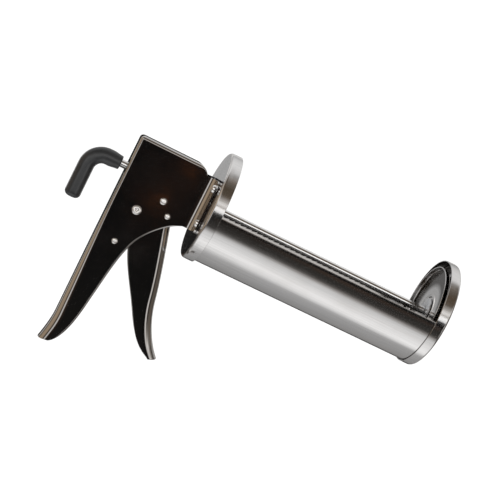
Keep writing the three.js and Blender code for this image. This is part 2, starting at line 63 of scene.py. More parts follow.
SHEET = 1.5
BODY_HALF_WIDTH = 10.5
BODY_TOP_Z = 28
TOP_CORNER = 3.1
HANDLE_END_Z = -153
FLARE_START_Z = -128
FLARE_END_X = -73.7
TOP_FOLD, FOOT_FOLD = 3.0, 8.0  # the spine's fold radius at the top and at the foot
FRONT_CURL = 1.7  # the grip's front edge is rolled inwards a little
FLANGE_TOP_Z = 21.7
FLANGE_BOTTOM_Z = -23
FLANGE_HALF_WIDTH = 23
FLANGE_CORNER = 4
FLANGE_BEND = 7.5
FLANGE_FACE_X = -1.8
FLANGE_RIVET_Y = 19.6
FLANGE_RIVET_Z = 15

CAP_DEPTH = 10
CAP_SHEET = 1
REAR_CAP_RADIUS = 46
FRONT_CAP_RADIUS = 45.5
FRONT_CAP_X = 201
NOZZLE_RADIUS = 9.5
TROUGH_RADIUS = 43.6
TROUGH_EDGE_DROP = 1
TROUGH_START_X = 2.3
TROUGH_END_X = 207

ROD_RADIUS = 3.175
ROD_SHOULDER_X = 201.4
STUD_RADIUS = 2.3
STUD_END_X = 208.6
TOOTH_PITCH = 5
TOOTH_COUNT = 40
FIRST_TOOTH_X = -52
TOOTH_ROOT_Z = -2
TOOTH_CREST_Z = -3.4
HOOK_X = -98.7
HOOK_BEND = 13
HOOK_END_Z = -36
SLEEVE_RADIUS = 6.6
SLEEVE_BORE = 3.6
SLEEVE_START_X = -74.8
SLEEVE_END_Z = -41

TRIGGER_HALF_WIDTH = 8.5
TRIGGER_TOP_Z = -24.4
PIVOT = {"x": -48.2, "z": -27.1, "shank": 2.4, "head": 3.9, "dome": 1.9}
BRAKE = {"x": -32.3, "z": -11.8, "shank": 1.9, "head": 2.9, "dome": 1.5}
STOP = {"x": -24.1, "z": -21.3, "shank": 1.5, "head": 2.4, "dome": 1.3}
ANCHOR = {"x": -53, "z": -56.7, "shank": 1.5, "head": 2.4, "dome": 1.3}
PAWL_PIN = {"x": -50.7, "z": -11.3, "radius": 1.6}
SPRING_PIN = {"x": -57.4, "z": -29.2, "radius": 1.5}


def to_row(point):
    """A point of the barrel frame, in millimetres, as a point of the row frame, in metres."""
    x, y, z = point
    return Vector(((x - SPINE_X) * MM, y * MM, (z - GRIP_Z) * MM))


# ---- mesh helpers ----


def tidy_normals(mesh):
    """Faces turned outwards, doubles merged, smooth shading with creases kept."""
    work = bmesh.new()
    work.from_mesh(mesh)
    bmesh.ops.remove_doubles(work, verts=work.verts, dist=1e-7)
    bmesh.ops.recalc_face_normals(work, faces=work.faces)
    work.to_mesh(mesh)
    work.free()
    for polygon in mesh.polygons:
        polygon.use_smooth = True
    mesh.set_sharp_from_angle(angle=math.radians(38))


def make_piece(name, shape, material, body, nodes):
    """A new piece from (vertices, faces) that stands for CAD nodes and rides on a body, if any."""
    vertices, faces = shape
    mesh = bpy.data.meshes.new(name)
    mesh.from_pydata([to_row(v) for v in vertices], [], faces)
    tidy_normals(mesh)
    piece = bpy.data.objects.new(name, mesh)
    bpy.context.scene.collection.objects.link(piece)
    mesh.materials.append(material)
    if body:
        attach(piece, body)
    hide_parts(*nodes)
    return piece


def add_modifier(piece, kind, **settings):
    modifier = piece.modifiers.new(kind.title(), kind)
    for key, value in settings.items():
        setattr(modifier, key, value)
    return modifier


def weigh_normals(piece):
    """Flat faces keep their own normal, so that a mirror finish stays flat beside a round."""
    add_modifier(piece, "WEIGHTED_NORMAL", keep_sharp=True, weight=100)


def freeze(piece):
    """Applies the modifiers, so that the cutters they use can go."""
    graph = bpy.context.evaluated_depsgraph_get()
    graph.update()
    mesh = bpy.data.meshes.new_from_object(piece.evaluated_get(graph))
    mesh.name = piece.name
    piece.modifiers.clear()
    piece.data = mesh


def merged(*shapes):
    """Several closed shapes as one list of vertices and faces."""
    vertices, faces = [], []
    for new_vertices, new_faces in shapes:
        start = len(vertices)
        vertices += new_vertices
        faces += [tuple(start + i for i in face) for face in new_faces]
    return vertices, faces


def drill(piece, *holes):
    """Cuts closed shapes out of a piece."""
    vertices, faces = merged(*holes)
    mesh = bpy.data.meshes.new("drill")
    mesh.from_pydata([to_row(v) for v in vertices], [], faces)
    tidy_normals(mesh)
    cutter = bpy.data.objects.new("drill", mesh)
    bpy.context.scene.collection.objects.link(cutter)
    add_modifier(piece, "BOOLEAN", operation="DIFFERENCE", solver="EXACT", object=cutter)
    freeze(piece)
    bpy.data.objects.remove(cutter)
    bpy.data.meshes.remove(mesh)
    for polygon in piece.data.polygons:
        polygon.use_smooth = True
    piece.data.set_sharp_from_angle(angle=math.radians(38))


def rounded(corners, steps=5):
    """A closed outline from corners (u, v, radius), each rounded by its radius."""
    outline = []
    for i, (u, v, radius) in enumerate(corners):
        here = Vector((u, v))
        back = Vector(corners[i - 1][:2]) - here
        ahead = Vector(corners[(i + 1) % len(corners)][:2]) - here
        if radius <= 0:
            outline.append((u, v))
            continue
        half = back.angle(ahead) / 2
        reach = min(radius / math.tan(half), 0.49 * back.length, 0.49 * ahead.length)
        radius = reach * math.tan(half)
        middle = (back.normalized() + ahead.normalized()).normalized()
        centre = here + middle * (radius / math.sin(half))
        start = here + back.normalized() * reach - centre
        end = here + ahead.normalized() * reach - centre
        sweep = start.angle_signed(end)
        for k in range(steps + 1):
            spoke = Matrix.Rotation(-sweep * k / steps, 2) @ start
            outline.append(tuple(centre + spoke))
    return outline


def revolved(outline, sides, axis="X", at=(0, 0), closed=True):
    """An outline of (along, radius) turned about the X or Y axis, moved aside to at.

    at is (y, z) for the X axis and (x, z) for the Y axis. An open outline starts and ends on
    the axis.
    """
    vertices, rings = [], []
    for along, radius in outline:
        count = 1 if radius < 1e-6 else sides
        ring = []
        for j in range(count):
            angle = 2 * math.pi * j / sides
            u, v = at[0] + radius * math.cos(angle), at[1] + radius * math.sin(angle)
            ring.append(len(vertices))
            vertices.append((along, u, v) if axis == "X" else (u, along, v))
        rings.append(ring)
    pairs = list(zip(rings, rings[1:]))
    if closed:
        pairs.append((rings[-1], rings[0]))
    return vertices, [face for a, b in pairs for face in ring_faces(a, b)]


def ring_faces(a, b):
    """Faces between two rings of the same count, or between a ring and a pole."""
    if len(a) == 1 and len(b) == 1:
        return []
    count = max(len(a), len(b))
    faces = []
    for j in range(count):
        k = (j + 1) % count
        if len(a) == 1:
            faces.append((a[0], b[k], b[j]))
        elif len(b) == 1:
            faces.append((a[j], a[k], b[0]))
        else:
            faces.append((a[j], a[k], b[k], b[j]))
    return faces


def tube(path, radii, sides):
    """A round bar along a list of points, with one radius for each, and flat ends."""
    points = [Vector(p) for p in path]
    vertices, rings = [], []
    along = (points[1] - points[0]).normalized()
    across = along.cross(Vector((0, 1, 0)))
    if across.length < 0.1:
        across = along.cross(Vector((0, 0, 1)))
    across.normalize()
    for i, point in enumerate(points):
        ahead = points[min(i + 1, len(points) - 1)] - points[max(i - 1, 0)]
        if ahead.length > 1e-9:
            turn = along.rotation_difference(ahead.normalized())
            across = (turn @ across).normalized()
            along = ahead.normalized()
        up = along.cross(across)
        ring = []
        for j in range(sides):
            angle = 2 * math.pi * j / sides
            offset = across * math.cos(angle) + up * math.sin(angle)
            ring.append(len(vertices))
            vertices.append(tuple(point + offset * radii[i]))
        rings.append(ring)
    faces = [face for a, b in zip(rings, rings[1:]) for face in ring_faces(a, b)]
    return vertices, faces + [tuple(reversed(rings[0])), tuple(rings[-1])]


def wire(path, radius, sides=12):
    """A wire of even thickness with slightly rounded ends."""
    ends = [0.55 * radius, 0.9 * radius]
    points = [Vector(p) for p in path]
    first = (points[1] - points[0]).normalized() * radius
    last = (points[-1] - points[-2]).normalized() * radius
    line = [points[0] - first * 0.5, points[0] - first * 0.3, *points]
    line += [points[-1] + last * 0.3, points[-1] + last * 0.5]
    radii = [*ends, *[radius] * len(points), *reversed(ends)]
    return tube(line, radii, sides)


def bezier(points, steps):
    """Points along a quadratic or cubic Bezier curve, without its first one."""
    made = []
    for k in range(1, steps + 1):
        t = k / steps
        level = [Vector(p) for p in points]
        while len(level) > 1:
            level = [a.lerp(b, t) for a, b in zip(level, level[1:])]
        made.append(tuple(level[0]))
    return made


def straight(a, b, steps):
    """Points from a to b, without the first one."""
    return [tuple(Vector(a).lerp(Vector(b), k / steps)) for k in range(1, steps + 1)]


def arc(x, z, radius, start, end, steps):
    """Points on an arc in the side view, angles in degrees from +X towards +Z."""
    made = []
    for k in range(steps + 1):
        angle = math.radians(start + (end - start) * k / steps)
        made.append((x + radius * math.cos(angle), z + radius * math.sin(angle)))
    return made


def ease(value, low, high):
    """0 below low, 1 above high, and smooth in between."""
    t = min(max((value - low) / (high - low), 0), 1)
    return t * t * (3 - 2 * t)


# ---- folded sheet: the casing and the trigger ----

FOLD_STEPS = 10
WEB_STEPS = 4


def fold_section(half_width, radius):
    """(y, distance in from the edge) across a folded channel, from its left side to its right."""
    left = []
    for k in range(FOLD_STEPS + 1):
        angle = k / FOLD_STEPS * math.pi / 2
        y = half_width - radius * (1 - math.cos(angle))
        left.append((y, radius * (1 - math.sin(angle))))
    web = []
    for k in range(1, WEB_STEPS):
        web.append(((half_width - radius) * (1 - 2 * k / WEB_STEPS), 0))
    return left + web + [(-y, depth) for y, depth in reversed(left)]


def curl_rows(outline, curl):
    """Rows of (x, z, depth) that roll an outline's edge inwards; curl is the radius per point."""
    steps = 5
    normals = normals_along(outline, 1)
    rows = []
    for k in range(steps + 1):
        angle = k / steps * math.pi / 2
        row = []
        for (x, z), (nx, nz), radius in zip(outline, normals, curl):
            inset = radius * (1 - math.sin(angle))
            row.append((x + nx * inset, z + nz * inset, radius * (1 - math.cos(angle))))
        rows.append(row)
    return rows


def folded_channel(edge, inward, radii, half_width, outline, curl=None):
    """The outer surface of a channel: a closed edge with rounded folds, and two side plates.

    edge runs along the closed side, inward points into the channel at each of its points, and
    outline is the open side, from the end of edge back to its start. Returns vertices, faces
    and, for each side, the indices of the outline's vertices.
    """
    vertices, rows = [], []
    for (x, z), (nx, nz), radius in zip(edge, inward, radii):
        row = []
        for y, depth in fold_section(half_width, radius):
            row.append(len(vertices))
            vertices.append((x + nx * depth, y, z + nz * depth))
        rows.append(row)
    faces = []
    for a, b in zip(rows, rows[1:]):
        for j in range(len(a) - 1):
            faces.append((a[j], a[j + 1], b[j + 1], b[j]))
    open_sides = []
    for side, column in ((1, 0), (-1, -1)):
        rolled = curl_rows(outline, curl or [0] * len(outline))[: None if curl else 1]
        rims = []
        for points in rolled:
            start = len(vertices)
            vertices += [(x, side * (half_width - depth), z) for x, z, depth in points]
            rims.append(list(range(start, len(vertices))))
        faces.append(tuple([row[column] for row in rows] + rims[0]))
        for a, b in zip(rims, rims[1:]):
            for j in range(len(a) - 1):
                if curl[j] or curl[j + 1]:
                    faces.append((a[j], a[j + 1], b[j + 1], b[j]))
        open_sides.append(rims[0])
    return vertices, faces, open_sides


def normals_along(edge, turn):
    """The inward normal at each point of an edge line; turn is 1 for left of it, -1 for right."""
    made = []
    for i in range(len(edge)):
        a, b = Vector(edge[max(i - 1, 0)]), Vector(edge[min(i + 1, len(edge) - 1)])
        ahead = (b - a).normalized()
        made.append((-turn * ahead.y, turn * ahead.x))
    return made


def towards(normal, target, share):
    """A normal turned part of the way to a target direction."""
    mixed = Vector(normal).lerp(Vector(target), share).normalized()
    return tuple(mixed)


def thicken(piece, edge_round):
    """Gives a sheet its thickness, inwards, and rounds its cut edges."""
    add_modifier(piece, "SOLIDIFY", thickness=SHEET * MM, offset=-1, use_even_offset=True)
    add_modifier(
        piece,
        "BEVEL",
        width=edge_round * MM,
        segments=3,
        limit_method="ANGLE",
        angle_limit=math.radians(55),
        harden_normals=False,
    )


def casing_edge():
    """The casing's closed edge in side view: over the top, round the corner, down the spine."""
    back = SPINE_X
    edge = [(-10, 22)]
    edge += bezier([(-10, 22), (-13, 27), (-19, BODY_TOP_Z)], 8)
    edge += straight((-19, BODY_TOP_Z), (back + TOP_CORNER, BODY_TOP_Z), 8)
    corner = arc(back + TOP_CORNER, BODY_TOP_Z - TOP_CORNER, TOP_CORNER, 90, 180, 8)
    edge += corner[1:]
    edge += straight((back, BODY_TOP_Z - TOP_CORNER), (back, FLARE_START_Z), 26)
    edge += bezier([(back, FLARE_START_Z), (back, -138), (FLARE_END_X, HANDLE_END_Z)], 14)
    return edge


def casing_outline():
    """The casing's open front, from the bottom of the grip up to the flange."""
    line = bezier([(-67, -152), (-54.5, -147.5), (-51.5, -121), (-49.5, -106)], 20)
    line = [point for point in line if point[0] > FLARE_END_X + FOOT_FOLD + 0.2]
    line += bezier([(-49.5, -106), (-47, -90), (-45.5, -72), (-41, -58)], 16)
    line += bezier([(-41, -58), (-37, -42), (-20, -27), (-10, FLANGE_BOTTOM_Z)], 20)
    return line


def flange_column(y, rows):
    """The heights of a flange's vertices at one distance from the middle plane."""
    over = max(y - (FLANGE_HALF_WIDTH - FLANGE_CORNER), 0)
    lost = FLANGE_CORNER - math.sqrt(max(FLANGE_CORNER**2 - over**2, 0))
    low, high = FLANGE_BOTTOM_Z + lost, FLANGE_TOP_Z - lost
    return [low + (high - low) * i / rows for i in range(rows + 1)]


def build_casing(material):
    edge = casing_edge()
    inward = normals_along(edge, 1)
    radii = []
    for i, (x, z) in enumerate(edge):
        grow = ease(-z, 20, 150)
        front = ease(x, -20, -10) if z > 0 else 0
        radii.append(TOP_FOLD + (FOOT_FOLD - TOP_FOLD) * grow - 2.5 * front)
        inward[i] = towards(inward[i], (0.98, 0.2), ease(-z, 120, 150))
    rows = 18
    bend_x = FLANGE_FACE_X - FLANGE_BEND
    heights = flange_column(0, rows)
    front_line = casing_outline()
    outline = front_line + [(bend_x, z) for z in heights]
    last = len(front_line) - 1
    curl = [FRONT_CURL * ease(i, 0, 6) * ease(last - i, 0, 6) for i in range(last + 1)]
    curl += [0] * len(heights)
    vertices, faces, rims = folded_channel(edge, inward, radii, BODY_HALF_WIDTH, outline, curl)
    columns = []
    for k in range(1, 9):
        angle = k / 8 * math.pi / 2
        x = bend_x + FLANGE_BEND * math.sin(angle)
        columns.append((x, BODY_HALF_WIDTH + FLANGE_BEND * (1 - math.cos(angle))))
    flat_start, flat_end = BODY_HALF_WIDTH + FLANGE_BEND, FLANGE_HALF_WIDTH
    for y in straight((flat_start, 0), (FLANGE_HALF_WIDTH - FLANGE_CORNER, 0), 2):
        columns.append((FLANGE_FACE_X, y[0]))
    for k in range(1, 7):
        share = math.sin(k / 6 * math.pi / 2)
        columns.append((FLANGE_FACE_X, flat_end - FLANGE_CORNER * (1 - share)))
    for side, rim in zip((1, -1), rims):
        before = rim[-(rows + 1) :]
        for x, y in columns:
            column = []
            for z in flange_column(y, rows):
                column.append(len(vertices))
                vertices.append((x, side * y, z))
            for i in range(rows):
                faces.append((before[i], before[i + 1], column[i + 1], column[i]))
            before = column
    casing = make_piece(
        "casing", (vertices, faces), material, "frame", ["handle_body"]
    )
    outwards(casing, Vector((0, 1, 0)), BODY_HALF_WIDTH)
    thicken(casing, 0.7)
    holes = [pin_shape(r["x"], r["z"], r["shank"] + 0.3, 15) for r in CROSS_RIVETS.values()]
    rod_hole = [(-80, 0), (-80, 3.7), (-60, 3.7), (-60, 0)]
    holes.append(revolved(rod_hole, 48, closed=False))
    for y, z in FLANGE_RIVETS.values():
        holes.append(revolved([(-8, 0), (-8, 2.1), (3, 2.1), (3, 0)], 24, at=(y, z), closed=False))
    drill(casing, *holes)
    weigh_normals(casing)
    return casing


def outwards(piece, direction, half_width):
    """Turns an open sheet so that its side plate at +Y faces +Y, the way thicken() expects."""
    mesh = piece.data
    plate = max(mesh.polygons, key=lambda polygon: polygon.area * (polygon.center.y > 0))
    if plate.normal.dot(direction) < 0:
        mesh.flip_normals()


def trigger_edge():
    edge = [(-18.6, TRIGGER_TOP_Z)]
    edge += bezier([edge[0], (-12.4, -46), (-5.2, -70), (-1.9, -86)], 26)
    edge += bezier([(-1.9, -86), (1.3, -101), (7.9, -117), (20, -129.9)], 22)
    return edge


def trigger_outline():
    x, z = PAWL_PIN["x"], PAWL_PIN["z"]
    line = bezier([(13.8, -132), (-3, -126), (-9, -112), (-17, -99)], 18)
    line += bezier([(-17, -99), (-24, -87), (-36, -71), (-40.7, -56.3)], 14)
    line += bezier([(-40.7, -56.3), (-42, -48), (-50, -41)], 8)
    line += bezier([(-58.4, -33.7), (-63.4, -29.2), (-59.4, -23.2)], 6)
    line += arc(x, z, 4.5, 171, 18, 14)
    line += bezier([line[-1], (-42, -20), (-34, TRIGGER_TOP_Z)], 8)
    return line


def build_trigger(material):
    edge = trigger_edge()
    inward = normals_along(edge, -1)
    radii = []
    end = (-0.95, -0.32)
    for i, (x, z) in enumerate(edge):
        inward[i] = towards(inward[i], (-1, 0), 1 - ease(-z, 24, 45))
        inward[i] = towards(inward[i], end, ease(-z, 104, 130))
        radii.append(7.4 + 0.6 * ease(-z, 60, 110) - 0.7 * ease(-z, 119, 130))
    shape = folded_channel(edge, inward, radii, TRIGGER_HALF_WIDTH, trigger_outline())
    lever = make_piece(
        "trigger_lever", shape[:2], material, "trigger", ["trigger"]
    )
    outwards(lever, Vector((0, 1, 0)), TRIGGER_HALF_WIDTH)
    thicken(lever, 0.5)
    holes = [pin_shape(PIVOT["x"], PIVOT["z"], 3.9, 15, 32)]
    for pin in (PAWL_PIN, SPRING_PIN):
        holes.append(pin_shape(pin["x"], pin["z"], pin["radius"] + 0.3, 15))
    drill(lever, *holes)
    weigh_normals(lever)
    return lever


# ---- rivets, pins and sleeves ----

CROSS_RIVETS = {
    "pivot_rivet": PIVOT,
    "brake_post_rivet": BRAKE,
    "stop_rivet": STOP,
    "anchor_rivet": ANCHOR,
}
FLANGE_RIVETS = {
    "left_upper": (FLANGE_RIVET_Y, FLANGE_RIVET_Z),
    "left_lower": (FLANGE_RIVET_Y, -FLANGE_RIVET_Z),
    "right_upper": (-FLANGE_RIVET_Y, FLANGE_RIVET_Z),
    "right_lower": (-FLANGE_RIVET_Y, -FLANGE_RIVET_Z),
}


def pin_shape(x, z, radius, half_length, sides=24):
    """A plain round bar across the gun."""
    outline = [(-half_length, 0), (-half_length, radius), (half_length, radius), (half_length, 0)]
    return revolved(outline, sides, "Y", (x, z), closed=False)


def head_outline(radius, dome, dimple):
    """Half of a rivet head, from the middle of its top to its rim: (height, radius)."""
    outline = []
    if dimple:
        outline += [(dome * 0.62, 0), (dome * 0.62, radius * 0.12), (dome * 0.7, radius * 0.2)]
        outline += [(dome * 0.86, radius * 0.28), (dome * 0.96, radius * 0.38)]
        start = 0.52
    else:
        outline += [(dome, 0), (dome * 0.995, radius * 0.16)]
        start = 0.3
    steps = 10
    for k in range(steps + 1):
        share = start + (1 - start) * k / steps
        height = dome * (1 - ((share - start) / (1 - start)) ** 2.6) ** 0.6
        outline.append((height, radius * share))
    return outline


def cross_rivet_shape(rivet, dimple):
    seat = BODY_HALF_WIDTH + 0.02
    head = head_outline(rivet["head"], rivet["dome"], dimple)
    near = [(seat + height, radius) for height, radius in head]
    far = [(-along, radius) for along, radius in reversed(near)]
    middle = [(seat, rivet["shank"]), (-seat, rivet["shank"])]
    return revolved(near + middle + far, 40, "Y", (rivet["x"], rivet["z"]), closed=False)


def flange_rivet_shape(y, z):
    """A domed head behind the flange, with a flat tail inside the rear cap."""
    seat = FLANGE_FACE_X - 0.02
    head = [(seat - height, radius) for height, radius in head_outline(3.4, 2.5, False)]
    tail_x = CAP_SHEET + 0.05
    tail = rounded([(tail_x, 2.9, 0), (tail_x + 1.1, 2.7, 0.5), (tail_x + 1.1, 0, 0)], 4)
    outline = head + [(seat, 1.8), (tail_x, 1.8)] + tail
    return revolved(outline, 40, at=(y, z), closed=False)


def chamfered_pin(pin):
    half = TRIGGER_HALF_WIDTH + 0.2
    outline = rounded(
        [(-half, 0, 0), (-half, pin["radius"], 0.3), (half, pin["radius"], 0.3), (half, 0, 0)], 3
    )
    return revolved(outline, 32, "Y", (pin["x"], pin["z"]), closed=False)


def ring_shape(start, end, bore, radius, soft, sides, axis="X", at=(0, 0)):
    """A washer or spacer tube with its edges broken."""
    corners = [
        (start, bore, soft),
        (end, bore, soft),
        (end, radius, soft),
        (start, radius, soft),
    ]
    return revolved(rounded(corners, 3), sides, axis, at)


def build_fasteners(bright, zinc):
    nodes = ["trigger_pivot_rivet", "brake_rivet", "trigger_stop_rivet", "spring_anchor_rivet"]
    for (name, rivet), node in zip(CROSS_RIVETS.items(), nodes):
        shape = cross_rivet_shape(rivet, rivet is PIVOT)
        make_piece(name, shape, bright, "frame", [node])
    for name, (y, z) in FLANGE_RIVETS.items():
        shape = flange_rivet_shape(y, z)
        node = f"flange_rivet_{name}"
        make_piece(f"rivet_{name}", shape, bright, "frame", [node])
    half = BODY_HALF_WIDTH - SHEET - 0.3
    spacers = (("pivot", PIVOT, 3.6), ("brake", BRAKE, 3), ("stop", STOP, 2.8), ("anchor", ANCHOR, 2.6))
    for name, rivet, radius in spacers:
        at = (rivet["x"], rivet["z"])
        shape = ring_shape(-half, half, rivet["shank"] + 0.3, radius, 0.25, 40, "Y", at)
        make_piece(f"{name}_spacer", shape, zinc, "frame", [f"{name}_sleeve"])
    for name, pin in (("pawl_pin", PAWL_PIN), ("spring_pin", SPRING_PIN)):
        make_piece(f"{name}_bar", chamfered_pin(pin), zinc, "trigger", [name])


# ---- barrel ----


def rear_cap_outline():
    """A shallow pressed cup: soft outer corner, crowned wall, lip rolled slightly outwards."""
    radius, wall = REAR_CAP_RADIUS, REAR_CAP_RADIUS - CAP_SHEET
    return rounded(
        [
            (0, 3.7, 0.2),
            (CAP_SHEET, 3.7, 0.2),
            (CAP_SHEET, wall - 0.5, 1.4),
            (CAP_DEPTH * 0.5, wall - 0.15, 6),
            (CAP_DEPTH, wall - 0.05, 0.3),
            (CAP_DEPTH, radius - 0.05, 0.3),
            (CAP_DEPTH * 0.5, radius, 8),
            (0, radius - 0.3, 3.2),
        ],
        6,
    )


def front_cap_outline():
    front = FRONT_CAP_X + CAP_DEPTH
    radius, inside = FRONT_CAP_RADIUS, FRONT_CAP_RADIUS - CAP_SHEET
    step = 0.8
    return rounded(
        [
            (front, NOZZLE_RADIUS, 0.35),
            (front, 31, 1.6),
            (front - step, 33.2, 1.6),
            (front - step, radius, 3.4),
            (front - 5, radius, 8),
            (FRONT_CAP_X, radius - 0.1, 0.3),
            (FRONT_CAP_X, inside - 0.1, 0.3),
            (front - 5, inside, 6),
            (front - step - CAP_SHEET, inside, 2.4),
            (front - step - CAP_SHEET, 33.2, 1.6),
            (front - CAP_SHEET, 31, 1.6),
            (front - CAP_SHEET, NOZZLE_RADIUS, 0.35),
        ],
        6,
    )


def trough_section():
    """The trough's closed section in (y, z), as equal counts of outer and inner points."""
    drop = math.asin(TROUGH_EDGE_DROP / TROUGH_RADIUS)
    steps = 120
    outer, inner = [], []
    for k in range(steps + 1):
        angle = math.pi + drop + (math.pi - 2 * drop) * k / steps
        near_edge = min(k, steps - k)
        thin = 0.22 if near_edge == 0 else 0
        outer.append(((TROUGH_RADIUS + 0.5 - thin) * math.cos(angle), (TROUGH_RADIUS + 0.5 - thin) * math.sin(angle)))
        inner.append(((TROUGH_RADIUS - 0.5 + thin) * math.cos(angle), (TROUGH_RADIUS - 0.5 + thin) * math.sin(angle)))
    return outer, inner


def trough_shape():
    outer, inner = trough_section()
    loop = outer + inner[::-1]
    vertices, rings = [], []
    stations = 24
    for i in range(stations + 1):
        x = TROUGH_START_X + (TROUGH_END_X - TROUGH_START_X) * i / stations
        rings.append([len(vertices) + j for j in range(len(loop))])
        vertices += [(x, y, z) for y, z in loop]
    faces = [face for a, b in zip(rings, rings[1:]) for face in ring_faces(a, b)]
    count = len(outer)
    for ring in (rings[0], rings[-1]):
        for j in range(count - 1):
            faces.append((ring[j], ring[j + 1], ring[-2 - j], ring[-1 - j]))
    return vertices, faces


def build_barrel(satin, cup_satin):
    rear = make_piece(
        "rear_cup", revolved(rear_cap_outline(), 144), satin, "frame", ["rear_cap"]
    )
    holes = []
    for y, z in FLANGE_RIVETS.values():
        holes.append(revolved([(-3, 0), (-3, 2.1), (4, 2.1), (4, 0)], 24, at=(y, z), closed=False))
    drill(rear, *holes)
    front = make_piece(
        "front_cup", revolved(front_cap_outline(), 144), cup_satin, "frame", ["front_cap"]
    )
    trough = make_piece(
        "trough", trough_shape(), satin, "frame", ["barrel_trough"]
    )
    for piece in (rear, front, trough):
        weigh_normals(piece)


# ---- push rod, hook and piston ----


def rod_path():
    """The rod's centre line from the hook's end up, round the bend and along the axis."""
    bend_x = HOOK_X + HOOK_BEND
    line = [(HOOK_X, 0, HOOK_END_Z + (-HOOK_BEND - HOOK_END_Z) * k / 6) for k in range(6)]
    for x, z in arc(bend_x, -HOOK_BEND, HOOK_BEND, 180, 90, 20):
        line.append((x, 0, z))
    return line


def tooth_floor(x):
    """How low the rod reaches at x, where the teeth are cut."""
    along = (x - FIRST_TOOTH_X) / TOOTH_PITCH
    if along < 0 or along > TOOTH_COUNT:
        return -ROD_RADIUS
    return TOOTH_CREST_Z + (TOOTH_ROOT_Z - TOOTH_CREST_Z) * (along - math.floor(along))


def thread_radius(x, angle):
    pitch, depth = 0.8, 0.28
    phase = (x / pitch - angle / (2 * math.pi)) % 1
    return STUD_RADIUS - depth * abs(2 * phase - 1)


def push_rod_shape():
    """The bar with its bent hook, the teeth under it and the threaded end."""
    sides = 48
    vertices, faces = tube(rod_path(), [ROD_RADIUS * 0.86] + [ROD_RADIUS] * 26, sides)
    faces = faces[:-1]
    rings = [list(range(len(vertices) - sides, len(vertices)))]

    def add_ring(x, radius_at, floor=-9):
        ring = []
        for j in range(sides):
            angle = 2 * math.pi * j / sides
            radius = radius_at(angle)
            ring.append(len(vertices))
            # The bend's last ring starts straight up and turns towards +Y.
            y, z = radius * math.sin(angle), radius * math.cos(angle)
            vertices.append((x, y * ROD_TURN, max(z, floor)))
        rings.append(ring)

    plain = lambda angle: ROD_RADIUS
    for k in range(1, 6):
        add_ring(HOOK_X + HOOK_BEND + (FIRST_TOOTH_X - 0.05 - HOOK_X - HOOK_BEND) * k / 5, plain)
    for tooth in range(TOOTH_COUNT):
        start = FIRST_TOOTH_X + tooth * TOOTH_PITCH
        for share in (0.002, 0.16, 0.45, 0.75, 0.985):
            add_ring(start + share * TOOTH_PITCH, plain, tooth_floor(start + share * TOOTH_PITCH))
    add_ring(FIRST_TOOTH_X + TOOTH_COUNT * TOOTH_PITCH + 0.05, plain)
    add_ring(ROD_SHOULDER_X - 0.4, plain)
    add_ring(ROD_SHOULDER_X, lambda angle: ROD_RADIUS - 0.4)
    x = ROD_SHOULDER_X
    while x < STUD_END_X - 0.5:
        add_ring(x + 0.01, lambda angle: thread_radius(x, angle))
        x += 0.1
    add_ring(STUD_END_X, lambda angle: STUD_RADIUS - 0.6)
    faces += [face for a, b in zip(rings, rings[1:]) for face in ring_faces(a, b)]
    faces.append(tuple(rings[-1]))
    return vertices, faces


ROD_TURN = 1  # which way the bar's rings run round it, to join up with the bend


def build_sleeve(vinyl):
    bend_x = HOOK_X + HOOK_BEND
    stations = []  # (point, radius), from the lip round to the closed end
    lip_radius = SLEEVE_RADIUS - 0.9
    lip = 0.9
    for k in range(6):
        angle = math.pi / 2 * k / 5
        stations.append(
            ((SLEEVE_START_X - lip * (1 - math.cos(angle)), 0, 0), lip_radius - lip * (1 - math.sin(angle)))
        )
    for k in range(1, 9):
        x = SLEEVE_START_X - lip + (bend_x - SLEEVE_START_X + lip) * k / 8
        stations.append(((x, 0, 0), lip_radius + (SLEEVE_RADIUS - lip_radius) * ease(k, 0, 6)))
    for x, z in arc(bend_x, -HOOK_BEND, HOOK_BEND, 90, 180, 24)[1:]:
        stations.append(((x, 0, z), SLEEVE_RADIUS))
    end_round = 4.2
    last = SLEEVE_END_Z + end_round
    for k in range(1, 9):
        z = -HOOK_BEND + (last + HOOK_BEND) * k / 8
        stations.append(((HOOK_X, 0, z), SLEEVE_RADIUS))
    for k in range(1, 9):
        angle = math.pi / 2 * k / 8
        radius = SLEEVE_RADIUS - end_round * (1 - math.cos(angle))
        stations.append(((HOOK_X, 0, last - end_round * math.sin(angle)), radius))
    stations.append(((HOOK_X, 0, SLEEVE_END_Z - 0.12), 1.2))
    inside = [((HOOK_X, 0, HOOK_END_Z - 0.6), SLEEVE_BORE)]
    for k in range(1, 7):
        z = HOOK_END_Z - 0.6 + (-HOOK_BEND - HOOK_END_Z + 0.6) * k / 6
        inside.append(((HOOK_X, 0, z), SLEEVE_BORE))
    for x, z in arc(bend_x, -HOOK_BEND, HOOK_BEND, 180, 90, 24)[1:]:
        inside.append(((x, 0, z), SLEEVE_BORE))
    inside.append(((SLEEVE_START_X - 0.8, 0, 0), SLEEVE_BORE))
    inside.append(((SLEEVE_START_X, 0, 0), SLEEVE_BORE + 0.5))
    sides = 48
    outer = tube([p for p, r in stations], [r for p, r in stations], sides)
    bore = tube([p for p, r in inside], [r for p, r in inside], sides)
    # Each tube's flat end at the mouth goes, and a ring joins the two.
    start = len(outer[0])
    faces = [face for face in outer[1] if len(face) != sides or 0 not in face]
    mouth = list(range(start + len(bore[0]) - sides, start + len(bore[0])))
    for face in bore[1]:
        if len(face) == sides and len(bore[0]) - 1 in face:
            continue
        faces.append(tuple(start + i for i in face))
    vertices = outer[0] + bore[0]
    faces += join_rings(vertices, list(range(sides)), mouth)
    return make_piece(
        "hook_grip", (vertices, faces), vinyl, "rod", ["hook_sleeve"]
    )


